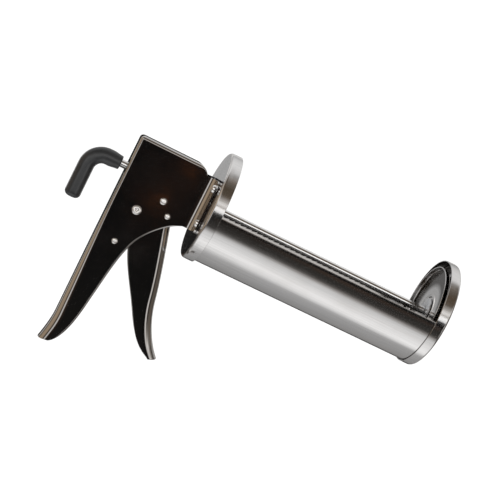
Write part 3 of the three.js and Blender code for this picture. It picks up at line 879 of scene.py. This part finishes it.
def join_rings(vertices, a, b):
    """Quads between two rings of the same count that may start at different angles."""
    first = Vector(vertices[a[0]])
    nearest = min(range(len(b)), key=lambda j: (Vector(vertices[b[j]]) - first).length)
    count = len(a)
    second = Vector(vertices[a[1]])
    forward = Vector(vertices[b[(nearest + 1) % count]])
    backward = Vector(vertices[b[nearest - 1]])
    step = 1 if (forward - second).length < (backward - second).length else -1
    return ring_faces(a, [b[(nearest + step * j) % count] for j in range(count)])


def build_rod(bright):
    return make_piece("rod", push_rod_shape(), bright, "rod", ["push_rod"])


def hex_nut_shape(start, end, bore, flat):
    """A hexagon nut whose corners are cut back by a chamfer, with a threaded bore."""
    sides = 72
    slope = math.tan(math.radians(30))
    vertices, rings = [], []

    def add(x_at, radius_at):
        ring = []
        for j in range(sides):
            angle = 2 * math.pi * j / sides
            from_flat = (angle + math.pi / 6) % (math.pi / 3) - math.pi / 6
            corner = flat / math.cos(from_flat)
            radius = radius_at(corner, angle)
            ring.append(len(vertices))
            x = x_at(corner)
            vertices.append((x, radius * math.cos(angle), radius * math.sin(angle)))
        rings.append(ring)

    add(lambda corner: end, lambda corner, angle: flat * 0.97)
    add(lambda corner: end - (corner - flat * 0.97) * slope, lambda corner, angle: corner)
    add(lambda corner: start + 0.05, lambda corner, angle: corner)
    add(lambda corner: start, lambda corner, angle: corner * 0.985)
    add(lambda corner: start, lambda corner, angle: bore + 0.35)
    steps = 20
    for k in range(1, steps):
        x = start + (end - start) * k / steps
        add(lambda corner: x, lambda corner, angle: bore + thread_radius(x, angle) - STUD_RADIUS + 0.2)
    add(lambda corner: end, lambda corner, angle: bore + 0.35)
    pairs = list(zip(rings, rings[1:])) + [(rings[-1], rings[0])]
    return vertices, [face for a, b in pairs for face in ring_faces(a, b)]


def piston_outline():
    """A pressed pan with its rim turned back, its outer corner soft and a shallow ring pressed in."""
    back, front = 203.2, 204.2
    rim_x = 199.2
    outer, inner = 39, 38
    hole = 2.6
    return rounded(
        [
            (back, hole, 0.15),
            (front, hole, 0.15),
            (front, 10.5, 1),
            (front - 0.35, 11.7, 1),
            (front - 0.35, 14.8, 1),
            (front, 16, 1),
            (front, outer, 2.6),
            (rim_x, outer, 0.3),
            (rim_x, inner, 0.3),
            (back, inner, 1.8),
            (back, 16, 1),
            (back - 0.35, 14.8, 1),
            (back - 0.35, 13.6, 1),
            (back, 12.4, 1),
        ],
        5,
    )


def build_piston(satin, zinc):
    plate = make_piece(
        "piston_pan", revolved(piston_outline(), 128), satin, "piston", ["piston_plate"]
    )
    weigh_normals(plate)
    washers = (
        ("rear_washer", 201.7, 202.8, 11.5, "piston_rear_washer"),
        ("front_washer", 204.5, 205.3, 8, "piston_front_washer"),
    )
    for name, start, end, radius, node in washers:
        shape = ring_shape(start, end, 2.6, radius, 0.25, 72)
        make_piece(name, shape, zinc, "piston", [node])
    nut = hex_nut_shape(205.6, 207.8, 2.6, 3.95)
    make_piece("nut", nut, zinc, "piston", ["rod_nut"])


# ---- pawl and springs ----


def plate_shape(outline, half_width, soft=0.0):
    """A side view pushed out equally to both sides, its edges broken by soft."""
    vertices, rings = [], []
    for y, inset in ((-half_width, soft), (-half_width + soft, 0), (half_width - soft, 0), (half_width, soft)):
        ring = []
        for i, point in enumerate(outline):
            here = Vector(point)
            ahead = (Vector(outline[(i + 1) % len(outline)]) - Vector(outline[i - 1])).normalized()
            inward = Vector((-ahead.y, ahead.x))
            moved = here + inward * inset
            ring.append(len(vertices))
            vertices.append((moved.x, y, moved.y))
        rings.append(ring)
    faces = [face for a, b in zip(rings, rings[1:]) for face in ring_faces(a, b)]
    return vertices, faces + [tuple(rings[0]), tuple(reversed(rings[-1]))]


def anticlockwise(outline):
    area = sum(a[0] * b[1] - b[0] * a[1] for a, b in zip(outline, outline[1:] + outline[:1]))
    return outline if area > 0 else outline[::-1]


def pawl_outline():
    x, z = PAWL_PIN["x"], PAWL_PIN["z"]
    nose_x, nose_z = x + 8, -ROD_RADIUS - 0.5
    line = [(nose_x, nose_z), (nose_x - 3.5, nose_z - 0.9), (x - 2.5, z + 3.4)]
    line += arc(x, z, 4.2, 126, 315, 20)[1:]
    line += bezier([line[-1], (nose_x - 1.5, z - 0.5), (nose_x, nose_z - 2.6)], 10)
    return anticlockwise(line)


def pawl_spring_path():
    x, z = PAWL_PIN["x"], PAWL_PIN["z"]
    coil, turns, per_turn = 2.6, 2.5, 24
    points = [(x + 6.5, 3.2, z + 1.5), (x + 3.2, 3.3, z + 2.3)]
    for i in range(int(turns * per_turn) + 1):
        angle = -math.pi / 2 + i / per_turn * 2 * math.pi
        y = 3.4 + i / per_turn * 1.1
        points.append((x - coil * math.cos(angle), y, z + coil * math.sin(angle)))
    points.append((x + 7, 6.2, z + 0.2))
    return points


def return_spring_path():
    """Hooks round the spring pin and the anchor spacer, with a close coil between them."""
    top = Vector((SPRING_PIN["x"], 0, SPRING_PIN["z"]))
    bottom = Vector((ANCHOR["x"], 0, ANCHOR["z"]))
    down = (bottom - top).normalized()
    across = Vector((-down.z, 0, down.x))
    thick, coil, turns, per_turn, start = 0.45, 2.2, 13, 20, 5
    length = (bottom - top).length - 2 * start - 1

    def at(along, side, y):
        return tuple(top + down * along + across * side + Vector((0, y, 0)))

    points = []
    hook = SPRING_PIN["radius"] + 0.3 + thick
    for degrees in range(-120, 91, 15):
        angle = math.radians(degrees)
        points.append(at(-hook * math.cos(angle), hook * math.sin(angle), 0))
    for i in range(turns * per_turn + 1):
        angle = i / per_turn * 2 * math.pi
        along = start + i / (turns * per_turn) * length
        points.append(at(along, coil * math.cos(angle), coil * math.sin(angle)))
    hook = 2.6 + 0.3 + thick
    bottom_along = (bottom - top).length
    for degrees in range(90, -121, -15):
        angle = math.radians(degrees)
        points.append(at(bottom_along + hook * math.cos(angle), hook * math.sin(angle), 0))
    return points


def brake_leaf_outline():
    """A hairpin leaf round the brake spacer, from the stop spacer up to the rod."""
    thick = 0.8
    turn = 3 + 0.3 + thick / 2
    low = STOP["z"] + 2.8 + 0.3 + thick / 2
    high = -ROD_RADIUS - 0.3 - thick / 2
    line = straight((STOP["x"] + 4, low), (STOP["x"] - 2, low), 3)
    line += arc(BRAKE["x"], BRAKE["z"], turn, 285, 105, 24)
    line += straight(line[-1], (STOP["x"] + 2, high), 8)
    line += straight(line[-1], (STOP["x"] + 5, high), 2)
    line += straight(line[-1], (STOP["x"] + 8, high - 1.6), 3)
    sides = ([], [])
    for i, point in enumerate(line):
        before, after = Vector(line[max(i - 1, 0)]), Vector(line[min(i + 1, len(line) - 1)])
        ahead = (after - before).normalized()
        for side, sign in zip(sides, (1, -1)):
            side.append(
                (point[0] - sign * thick / 2 * ahead.y, point[1] + sign * thick / 2 * ahead.x)
            )
    return anticlockwise(sides[0] + sides[1][::-1])


def build_mechanism(hard, spring):
    dog = make_piece(
        "pawl_dog", plate_shape(pawl_outline(), 2.4, 0.25), hard, "pawl", ["pawl"]
    )
    drill(dog, pin_shape(PAWL_PIN["x"], PAWL_PIN["z"], 1.9, 10, 32))
    weigh_normals(dog)
    make_piece(
        "pawl_torsion_spring", wire(pawl_spring_path(), 0.4), spring, "trigger", ["pawl_spring"]
    )
    leaf = make_piece(
        "brake_leaf", plate_shape(brake_leaf_outline(), 3.5, 0.1), spring, "frame", ["rod_brake_spring"]
    )
    weigh_normals(leaf)
    coil = make_piece(
        "return_coil", wire(return_spring_path(), 0.45), spring, None, ["trigger_return_spring"]
    )
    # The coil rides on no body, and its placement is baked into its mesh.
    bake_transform(coil)


# ---- materials ----


class Look:
    """A node material on one Principled shader, with short calls for the usual patterns."""

    def __init__(self, name, metallic, roughness, **sockets):
        self.material = bpy.data.materials.new(name)
        self.material.use_nodes = True
        tree = self.material.node_tree
        self.nodes, self.links = tree.nodes, tree.links
        self.shader = self.nodes["Principled BSDF"]
        self.shader.inputs["Metallic"].default_value = metallic
        self.shader.inputs["Roughness"].default_value = roughness
        for socket, value in sockets.items():
            self.shader.inputs[socket.replace("_", " ")].default_value = value
        self.place = self.nodes.new("ShaderNodeTexCoord").outputs["Object"]

    def link(self, value, socket):
        if isinstance(value, (int, float)):
            socket.default_value = value
        else:
            self.links.new(value, socket)

    def stretched(self, x, y, z):
        """The object's coordinates, scaled along each axis."""
        node = self.nodes.new("ShaderNodeMapping")
        node.inputs["Scale"].default_value = (x, y, z)
        self.links.new(self.place, node.inputs["Vector"])
        return node.outputs["Vector"]

    def noise(self, scale, detail=3, rough=0.5, place=None):
        node = self.nodes.new("ShaderNodeTexNoise")
        node.inputs["Scale"].default_value = scale
        node.inputs["Detail"].default_value = detail
        node.inputs["Roughness"].default_value = rough
        self.links.new(place or self.place, node.inputs["Vector"])
        return node.outputs["Fac"]

    def cells(self, scale, place=None):
        node = self.nodes.new("ShaderNodeTexVoronoi")
        node.inputs["Scale"].default_value = scale
        self.links.new(place or self.place, node.inputs["Vector"])
        return node.outputs["Distance"]

    def remap(self, value, low, high, to_low, to_high):
        node = self.nodes.new("ShaderNodeMapRange")
        self.link(value, node.inputs["Value"])
        for socket, number in zip(("From Min", "From Max", "To Min", "To Max"), (low, high, to_low, to_high)):
            node.inputs[socket].default_value = number
        return node.outputs["Result"]

    def math(self, operation, a, b=0.0):
        node = self.nodes.new("ShaderNodeMath")
        node.operation = operation
        self.link(a, node.inputs[0])
        self.link(b, node.inputs[1])
        return node.outputs[0]

    def colours(self, value, *stops):
        """A colour from a value, by stops of (position, (r, g, b))."""
        ramp = self.nodes.new("ShaderNodeValToRGB")
        elements = ramp.color_ramp.elements
        while len(elements) < len(stops):
            elements.new(0.5)
        for element, (position, colour) in zip(elements, stops):
            element.position = position
            element.color = (*colour, 1)
        self.link(value, ramp.inputs["Fac"])
        return ramp.outputs["Color"]

    def blend(self, share, a, b):
        node = self.nodes.new("ShaderNodeMix")
        node.data_type = "RGBA"
        self.link(share, node.inputs["Factor"])
        for value, socket in ((a, node.inputs["A"]), (b, node.inputs["B"])):
            if isinstance(value, tuple):
                socket.default_value = (*value, 1)
            else:
                self.links.new(value, socket)
        return node.outputs["Result"]

    def from_axis(self):
        """How far the surface is from the barrel axis, in millimetres."""
        split = self.nodes.new("ShaderNodeSeparateXYZ")
        self.links.new(self.place, split.inputs[0])
        joined = self.nodes.new("ShaderNodeCombineXYZ")
        self.links.new(split.outputs["Y"], joined.inputs["Y"])
        self.links.new(self.math("SUBTRACT", split.outputs["Z"], GRIP_Z * -MM), joined.inputs["Z"])
        length = self.nodes.new("ShaderNodeVectorMath")
        length.operation = "LENGTH"
        self.links.new(joined.outputs["Vector"], length.inputs[0])
        return self.math("MULTIPLY", length.outputs["Value"], 1 / MM)

    def height(self):
        """How far the surface is above the barrel axis, in millimetres."""
        split = self.nodes.new("ShaderNodeSeparateXYZ")
        self.links.new(self.place, split.inputs[0])
        raised = self.math("SUBTRACT", split.outputs["Z"], GRIP_Z * -MM)
        return self.math("MULTIPLY", raised, 1 / MM)

    def edges(self, radius, low, high):
        """1 on edges rounded by wear, 0 on flat faces."""
        soft = self.nodes.new("ShaderNodeBevel")
        soft.samples = 6
        soft.inputs["Radius"].default_value = radius * MM
        plain = self.nodes.new("ShaderNodeNewGeometry")
        dot = self.nodes.new("ShaderNodeVectorMath")
        dot.operation = "DOT_PRODUCT"
        self.links.new(soft.outputs["Normal"], dot.inputs[0])
        self.links.new(plain.outputs["Normal"], dot.inputs[1])
        return self.remap(dot.outputs["Value"], high, low, 0, 1)

    def bumps(self, *layers):
        """Bump layers of (height, strength, distance in mm), one on top of the other."""
        normal = None
        for height, strength, distance in layers:
            node = self.nodes.new("ShaderNodeBump")
            node.inputs["Strength"].default_value = strength
            node.inputs["Distance"].default_value = distance * MM
            self.links.new(height, node.inputs["Height"])
            if normal is not None:
                self.links.new(normal, node.inputs["Normal"])
            normal = node.outputs["Normal"]
        self.links.new(normal, self.shader.inputs["Normal"])

    def colour(self, value):
        self.links.new(value, self.shader.inputs["Base Color"])

    def roughness(self, value):
        self.links.new(value, self.shader.inputs["Roughness"])


def polished_chrome():
    """Mirror plating over pressed steel: faint waves, smudges, hairline scratches, worn edges."""
    look = Look("polished_chrome", 1, 0.08)
    smudge = look.noise(38, 5, 0.62)
    hair = look.noise(1, 2, 0.5, look.stretched(260, 900, 4200))
    hair_lines = look.remap(hair, 0.66, 0.74, 0, 1)
    wear = look.edges(0.7, 0.8, 0.97)
    tone = look.colours(look.noise(14, 3), (0.3, (0.50, 0.485, 0.475)), (0.7, (0.60, 0.585, 0.57)))
    look.colour(look.blend(wear, tone, (0.74, 0.73, 0.72)))
    base = look.remap(smudge, 0.35, 0.72, 0.05, 0.15)
    base = look.math("ADD", base, look.math("MULTIPLY", hair_lines, 0.06))
    look.roughness(look.math("ADD", base, look.math("MULTIPLY", wear, 0.08)))
    look.bumps(
        (look.noise(20, 2, 0.4), 0.22, 1.0),
        (look.noise(110, 3), 0.06, 0.15),
        (hair_lines, 0.05, 0.02),
    )
    return look.material


def satin_chrome(name, grain, tint, low, high, painted_shade_ring=None):
    """Brushed plating; grain is the scale along each axis, coarse along the brushing.

    The last argument, when given, is (inner, outer, soft): between these distances from the axis
    the colour is painted dark, as painted shade where the surface lies in shade inside the front cup.
    """
    look = Look(name, 1, 0.3)
    lines = look.noise(1, 4, 0.65, look.stretched(*grain))
    fine = look.noise(1, 2, 0.5, look.stretched(*[value * 2.7 for value in grain]))
    smudge = look.noise(30, 5, 0.6)
    wear = look.edges(0.6, 0.78, 0.97)
    dull = tuple(value * 0.86 for value in tint)
    tone = look.colours(lines, (0.25, dull), (0.75, tint))
    tone = look.blend(look.remap(smudge, 0.45, 0.75, 0, 0.25), tone, (0.50, 0.48, 0.455))
    tone = look.blend(wear, tone, (0.82, 0.815, 0.81))
    # Painted shade: a dark ring between two distances from the axis, for the shade inside the front cup.
    if painted_shade_ring:
        inner, outer, soft = painted_shade_ring
        away = look.from_axis()
        ring = look.remap(away, inner, inner + soft, 0, 1)
        ring = look.math("MULTIPLY", ring, look.remap(away, outer - 0.15, outer, 1, 0))
        tone = look.blend(ring, tone, (0.085, 0.078, 0.072))
    look.colour(tone)
    base = look.remap(smudge, 0.3, 0.75, low, high)
    look.roughness(look.math("ADD", base, look.remap(lines, 0.3, 0.7, -0.02, 0.03)))
    look.bumps((look.noise(16, 2, 0.4), 0.12, 1.0), (lines, 0.08, 0.012), (fine, 0.05, 0.006))
    return look.material


def rod_chrome():
    """A drawn bright bar: fine turned rings, a little lengthwise scuffing and painted shade along its underside."""
    look = Look("rod_chrome", 1, 0.16)
    rings = look.noise(1, 3, 0.6, look.stretched(5200, 120, 120))
    scuff = look.noise(1, 3, 0.55, look.stretched(60, 2400, 2400))
    wear = look.edges(0.35, 0.75, 0.96)
    tone = look.colours(look.noise(45, 4), (0.3, (0.74, 0.735, 0.73)), (0.7, (0.84, 0.84, 0.84)))
    tone = look.blend(look.remap(scuff, 0.6, 0.75, 0, 0.35), tone, (0.55, 0.53, 0.51))
    tone = look.blend(wear, tone, (0.9, 0.9, 0.9))
    # Painted shade: the underside of the bar, teeth included, is coloured dark.
    underside_shade = look.remap(look.height(), -0.9, -1.7, 0, 1)
    look.colour(look.blend(underside_shade, tone, (0.10, 0.095, 0.09)))
    look.roughness(look.math("ADD", look.remap(scuff, 0.3, 0.7, 0.1, 0.16), look.math("MULTIPLY", rings, 0.04)))
    look.bumps((scuff, 0.04, 0.008), (rings, 0.05, 0.006))
    return look.material


def rivet_steel():
    """Bright nickel with the small dents of the rivet set and scattered patches of grime."""
    look = Look("rivet_steel", 1, 0.2)
    dents = look.noise(900, 3, 0.55)
    grime = look.noise(420, 4, 0.6)
    wear = look.edges(0.5, 0.7, 0.96)
    tone = look.colours(dents, (0.3, (0.72, 0.70, 0.68)), (0.7, (0.88, 0.87, 0.85)))
    tone = look.blend(look.remap(grime, 0.62, 0.8, 0, 0.6), tone, (0.38, 0.35, 0.32))
    look.colour(look.blend(wear, tone, (0.93, 0.92, 0.9)))
    look.roughness(look.remap(grime, 0.35, 0.75, 0.14, 0.32))
    look.bumps((dents, 0.35, 0.08), (look.noise(2600, 2), 0.12, 0.02))
    return look.material


def zinc_steel():
    """Zinc plate: spangle, a faint blue and straw cast and fine scratches."""
    look = Look("zinc_steel", 1, 0.35)
    spangle = look.cells(900)
    cast = look.noise(160, 4, 0.6)
    scratch = look.noise(1, 2, 0.5, look.stretched(2800, 300, 2800))
    wear = look.edges(0.3, 0.75, 0.96)
    tone = look.colours(cast, (0.3, (0.56, 0.58, 0.61)), (0.55, (0.62, 0.63, 0.65)), (0.75, (0.66, 0.64, 0.58)))
    look.colour(look.blend(wear, tone, (0.76, 0.76, 0.76)))
    look.roughness(look.remap(spangle, 0, 0.8, 0.26, 0.42))
    look.bumps((spangle, 0.12, 0.03), (scratch, 0.15, 0.015))
    return look.material


def spring_steel():
    """Oil-tempered wire and strip, dark, with drawn lines and a few bare spots."""
    look = Look("spring_steel", 1, 0.32)
    drawn = look.noise(1, 3, 0.6, look.stretched(900, 3000, 900))
    spots = look.noise(260, 4, 0.6)
    tone = look.colours(spots, (0.35, (0.30, 0.295, 0.29)), (0.62, (0.40, 0.40, 0.41)), (0.8, (0.55, 0.54, 0.52)))
    look.colour(tone)
    look.roughness(look.remap(drawn, 0.3, 0.7, 0.24, 0.42))
    look.bumps((drawn, 0.18, 0.02),)
    return look.material


def hardened_steel():
    """Blackened steel, rubbed bright on its edges, with a grainy surface."""
    look = Look("hardened_steel", 1, 0.42)
    grain = look.noise(1800, 4, 0.6)
    patches = look.noise(140, 4, 0.6)
    wear = look.edges(0.45, 0.72, 0.95)
    tone = look.colours(patches, (0.3, (0.17, 0.165, 0.16)), (0.7, (0.27, 0.26, 0.25)))
    look.colour(look.blend(wear, tone, (0.60, 0.59, 0.58)))
    look.roughness(look.math("SUBTRACT", look.remap(grain, 0.3, 0.7, 0.36, 0.52), look.math("MULTIPLY", wear, 0.12)))
    look.bumps((grain, 0.25, 0.03),)
    return look.material


def dipped_vinyl():
    """Soft black vinyl: fine grain, slow dip ripples, rubbed and dusty patches."""
    look = Look("dipped_vinyl", 0, 0.5, IOR=1.5)
    grain = look.noise(3200, 3, 0.6)
    ripple = look.noise(1, 2, 0.45, look.stretched(120, 60, 120))
    dust = look.noise(90, 5, 0.65)
    tone = look.colours(dust, (0.3, (0.010, 0.0105, 0.0115)), (0.7, (0.018, 0.0185, 0.0195)))
    tone = look.blend(look.remap(look.noise(700, 3), 0.68, 0.8, 0, 0.5), tone, (0.05, 0.049, 0.047))
    look.colour(tone)
    look.roughness(look.remap(dust, 0.3, 0.72, 0.26, 0.38))
    look.bumps((ripple, 0.18, 0.6), (grain, 0.2, 0.05))
    return look.material


# ---- the object ----

polished = polished_chrome()
satin_length = satin_chrome("satin_barrel", (14, 900, 900), (0.70, 0.69, 0.685), 0.11, 0.17)
# The front cup and the piston pan inside it get a ring of painted shade, dark where they lie in shade within the cup.
satin_cup = satin_chrome(
    "satin_cup", (14, 900, 900), (0.70, 0.69, 0.685), 0.11, 0.17, painted_shade_ring=(41, 44.7, 1.5)
)
satin_pan = satin_chrome(
    "satin_pan", (14, 900, 900), (0.70, 0.69, 0.685), 0.14, 0.2, painted_shade_ring=(21, 37.6, 5)
)
bright_bar = rod_chrome()
nickel = rivet_steel()
zinc = zinc_steel()
spring = spring_steel()
blackened = hardened_steel()
vinyl = dipped_vinyl()

build_casing(polished)
build_trigger(polished)
build_fasteners(nickel, zinc)
build_barrel(satin_length, satin_cup)
build_rod(bright_bar)
build_sleeve(vinyl)
build_piston(satin_pan, zinc)
build_mechanism(blackened, spring)


# ---- camera ----

# The camera stands 10.5 degrees behind square on and 5 degrees above, and the picture is turned
# so that the nozzle points down to the right.
CAMERA_YAW, CAMERA_PITCH, CAMERA_ROLL = 10.4873, 5.0, 26.7843
CAMERA_TARGET = (49.79, 0, -17.65)
CAMERA_DISTANCE = 1087.6
CAMERA_STEP, CAMERA_RISE = 0.65, 0.5  # to the camera's left, and up
CAMERA_LENS = 97.2


def place_camera():
    data = bpy.data.cameras.new("camera")
    data.lens = CAMERA_LENS
    data.sensor_width = 36
    data.clip_start, data.clip_end = 0.05, 60
    camera = bpy.data.objects.new("camera", data)
    bpy.context.scene.collection.objects.link(camera)
    yaw = Matrix.Rotation(math.radians(CAMERA_YAW), 3, "Z")
    pitch = Matrix.Rotation(math.radians(CAMERA_PITCH), 3, "X")
    roll = Matrix.Rotation(math.radians(CAMERA_ROLL), 3, "Y")
    back = (roll @ pitch @ yaw).transposed()
    right, ahead, up = (back @ Vector(axis) for axis in ((1, 0, 0), (0, 1, 0), (0, 0, 1)))
    aim = to_row(CAMERA_TARGET) + (up * CAMERA_RISE - right * CAMERA_STEP) * MM
    place = aim - ahead * CAMERA_DISTANCE * MM
    turn = Matrix((right, up, -ahead)).transposed()
    camera.matrix_world = Matrix.Translation(place) @ turn.to_4x4()
    bpy.context.scene.camera = camera


place_camera()

# ---- floor, surroundings and lights ----

WHITE = 1.22


def build_floor():
    size = 30
    mesh = bpy.data.meshes.new("floor")
    corners = [(-size, -size), (size, -size), (size, size), (-size, size)]
    mesh.from_pydata([(x, y, -0.45) for x, y in corners], [], [(0, 1, 2, 3)])
    floor = bpy.data.objects.new("floor", mesh)
    bpy.context.scene.collection.objects.link(floor)
    look = Look("pale_floor", 0, 0.9)
    look.colour(look.colours(look.noise(0.8, 2), (0.3, (0.90, 0.90, 0.90)), (0.7, (0.93, 0.93, 0.93))))
    mesh.materials.append(look.material)
    floor.visible_glossy = False


def build_surroundings():
    """White all round for the eye and for soft light; what the metal mirrors is a studio with
    a dark band at eye level, bright from below on the near side and from above on the far side."""
    world = bpy.data.worlds.new("studio")
    bpy.context.scene.world = world
    world.use_nodes = True
    world.cycles.sampling_method = "NONE"
    nodes, links = world.node_tree.nodes, world.node_tree.links
    nodes.clear()

    def add(kind, **settings):
        node = nodes.new(kind)
        for key, value in settings.items():
            setattr(node, key, value)
        return node

    def calculate(operation, a, b=0.0):
        node = add("ShaderNodeMath", operation=operation)
        for value, socket in ((a, node.inputs[0]), (b, node.inputs[1])):
            if isinstance(value, (int, float)):
                socket.default_value = value
            else:
                links.new(value, socket)
        return node.outputs[0]

    def span(value, low, high, to_low=0.0, to_high=1.0):
        node = add("ShaderNodeMapRange", interpolation_type="SMOOTHSTEP")
        links.new(value, node.inputs["Value"])
        for socket, number in zip(("From Min", "From Max", "To Min", "To Max"), (low, high, to_low, to_high)):
            node.inputs[socket].default_value = number
        return node.outputs["Result"]

    def by_height(stops):
        """Colours by elevation in degrees."""
        ramp = add("ShaderNodeValToRGB")
        elements = ramp.color_ramp.elements
        while len(elements) < len(stops):
            elements.new(0.5)
        for element, (degrees, colour) in zip(elements, stops):
            element.position = (degrees + 90) / 180
            element.color = (*colour, 1)
        links.new(height, ramp.inputs["Fac"])
        return ramp.outputs["Color"]

    def mix(share, a, b):
        node = add("ShaderNodeMix", data_type="RGBA")
        links.new(share, node.inputs["Factor"])
        links.new(a, node.inputs["A"])
        if isinstance(b, tuple):
            node.inputs["B"].default_value = (*b, 1)
        else:
            links.new(b, node.inputs["B"])
        return node.outputs["Result"]

    direction = add("ShaderNodeTexCoord").outputs["Generated"]
    split = add("ShaderNodeSeparateXYZ")
    links.new(direction, split.inputs[0])
    x, y, z = split.outputs
    angle = calculate("ARCSINE", z)
    height = calculate("MULTIPLY_ADD", angle, 1 / math.pi)
    height.node.inputs[2].default_value = 0.5
    grey = lambda value, warm=0.0: (value * (1 + warm), value, value * (1 - warm))
    near = by_height(
        [
            (-90, grey(0.72)),
            (-69, grey(1.25)),
            (-57, grey(1.05)),
            (-43, grey(0.82)),
            (-38, grey(0.35, 0.03)),
            (-33, grey(0.05, 0.08)),
            (-8, grey(0.008)),
            (5, grey(0.008)),
            (11, grey(0.35, 0.08)),
            (17, grey(1.15, 0.02)),
            (25, grey(0.5, 0.06)),
            (34, grey(0.1, 0.25)),
            (50, grey(0.07, 0.3)),
            (66, grey(0.16, 0.15)),
            (90, grey(0.65)),
        ]
    )
    far = by_height(
        [
            (-90, grey(0.72)),
            (-72, grey(0.48)),
            (-50, grey(0.38)),
            (-32, grey(0.3)),
            (-20, grey(0.04, 0.1)),
            (-8, grey(0.012)),
            (6, grey(0.012)),
            (14, grey(0.25, 0.05)),
            (26, grey(0.5)),
            (45, grey(0.85)),
            (66, grey(1.0)),
            (90, grey(0.7)),
        ]
    )
    studio = mix(span(y, -0.12, 0.12), near, far)
    # Warm, lighter surroundings ahead of and behind the gun, with a light strip at each side.
    aside = calculate("ARCTAN2", calculate("ABSOLUTE", x), calculate("ABSOLUTE", y))
    level = calculate("ABSOLUTE", z)
    flat_band = span(level, 0.3, 0.62, 1, 0)
    ends = calculate("MULTIPLY", span(aside, 0.95, 1.3), flat_band)
    behind = add("ShaderNodeMix", data_type="RGBA")
    links.new(span(x, -0.1, 0.1, 1, 0), behind.inputs["Factor"])
    behind.inputs["A"].default_value = (*grey(0.13, 0.15), 1)
    behind.inputs["B"].default_value = (*grey(0.42, 0.28), 1)
    studio = mix(calculate("MULTIPLY", ends, 0.9), studio, behind.outputs["Result"])
    strip = calculate("MULTIPLY", span(aside, 0.52, 0.62), span(aside, 0.80, 0.92, 1, 0))
    strip = calculate("MULTIPLY", strip, flat_band)
    studio = mix(strip, studio, grey(0.8, 0.03))
    patches = add("ShaderNodeTexNoise")
    patches.inputs["Scale"].default_value = 3.5
    patches.inputs["Detail"].default_value = 2
    links.new(direction, patches.inputs["Vector"])
    brown = span(patches.outputs["Fac"], 0.5, 0.72, 0, 0.05)
    studio = mix(brown, studio, (0.9, 0.5, 0.3))
    # Two warm cards on the near side, broken up, which the flat sides of the handle mirror.
    broken = add("ShaderNodeTexNoise")
    broken.inputs["Scale"].default_value = 70
    broken.inputs["Detail"].default_value = 3
    links.new(direction, broken.inputs["Vector"])
    share = span(broken.outputs["Fac"], 0.44, 0.56)
    for toward, reach in (((0.106, -0.991, -0.082), 0.014), ((0.120, -0.991, -0.052), 0.009)):
        apart = add("ShaderNodeVectorMath", operation="DISTANCE")
        links.new(direction, apart.inputs[0])
        apart.inputs[1].default_value = toward
        card = span(apart.outputs["Value"], reach * 0.35, reach, 1, 0)
        studio = mix(calculate("MULTIPLY", card, share), studio, (0.13, 0.047, 0.018))
    is_glossy = add("ShaderNodeLightPath").outputs["Is Glossy Ray"]
    seen = add("ShaderNodeMix", data_type="RGBA")
    links.new(is_glossy, seen.inputs["Factor"])
    seen.inputs["A"].default_value = (WHITE, WHITE, WHITE, 1)
    links.new(studio, seen.inputs["B"])
    background = add("ShaderNodeBackground")
    links.new(seen.outputs["Result"], background.inputs["Color"])
    output = add("ShaderNodeOutputWorld")
    links.new(background.outputs[0], output.inputs["Surface"])


def soft_light(name, place, target, width, height, radiance, receivers):
    """A rectangular softbox that lights only the pieces named in receivers."""
    data = bpy.data.lights.new(name, "AREA")
    data.shape = "RECTANGLE"
    data.size, data.size_y = width, height
    data.energy = radiance * math.pi * width * height
    light = bpy.data.objects.new(name, data)
    bpy.context.scene.collection.objects.link(light)
    light.location = place
    light.rotation_mode = "QUATERNION"
    light.rotation_quaternion = (Vector(target) - Vector(place)).to_track_quat("-Z", "Y")
    light.visible_camera = False
    lit = bpy.data.collections.new(f"{name}_lit")
    for receiver in receivers:
        lit.objects.link(bpy.data.objects[receiver])
    light.light_linking.receiver_collection = lit


def build_lights():
    middle = to_row((60, 0, 0))
    rounds = ["rod", "hook_grip"]
    rounds += list(CROSS_RIVETS) + [f"rivet_{name}" for name in FLANGE_RIVETS]
    for side, name in ((-1, "near_box"), (1, "far_box")):
        place = middle + Vector((0.0, 0.9 * side, 0.05))
        soft_light(name, place, middle, 2.2, 0.5, 1.0, rounds)
    # A narrow box, a little above the axis, draws the bright line along each cup's rim.
    place = middle + Vector((0.0, -0.9, 0.08))
    soft_light("rim_box", place, middle, 1.4, 0.16, 1.3, ["rear_cup", "front_cup"])
    # A dimmer box on the far side, which the flat faces mirror at a grazing angle.
    # It stands high for the rear cup, so that the foot of the cup's face mirrors the dark below it.
    soft_light("high_box", middle + Vector((0.0, 0.9, 0.19)), middle, 2.2, 0.5, 0.42, ["rear_cup"])
    flats = ["front_cup", "piston_pan", "rear_washer"]
    soft_light("low_box", middle + Vector((0.0, 0.9, 0.05)), middle, 2.2, 0.5, 0.42, flats)


build_floor()
build_surroundings()
build_lights()

settings = bpy.context.scene.view_settings
settings.view_transform = "Standard"
settings.look = "None"
settings.exposure = 0
settings.gamma = 1
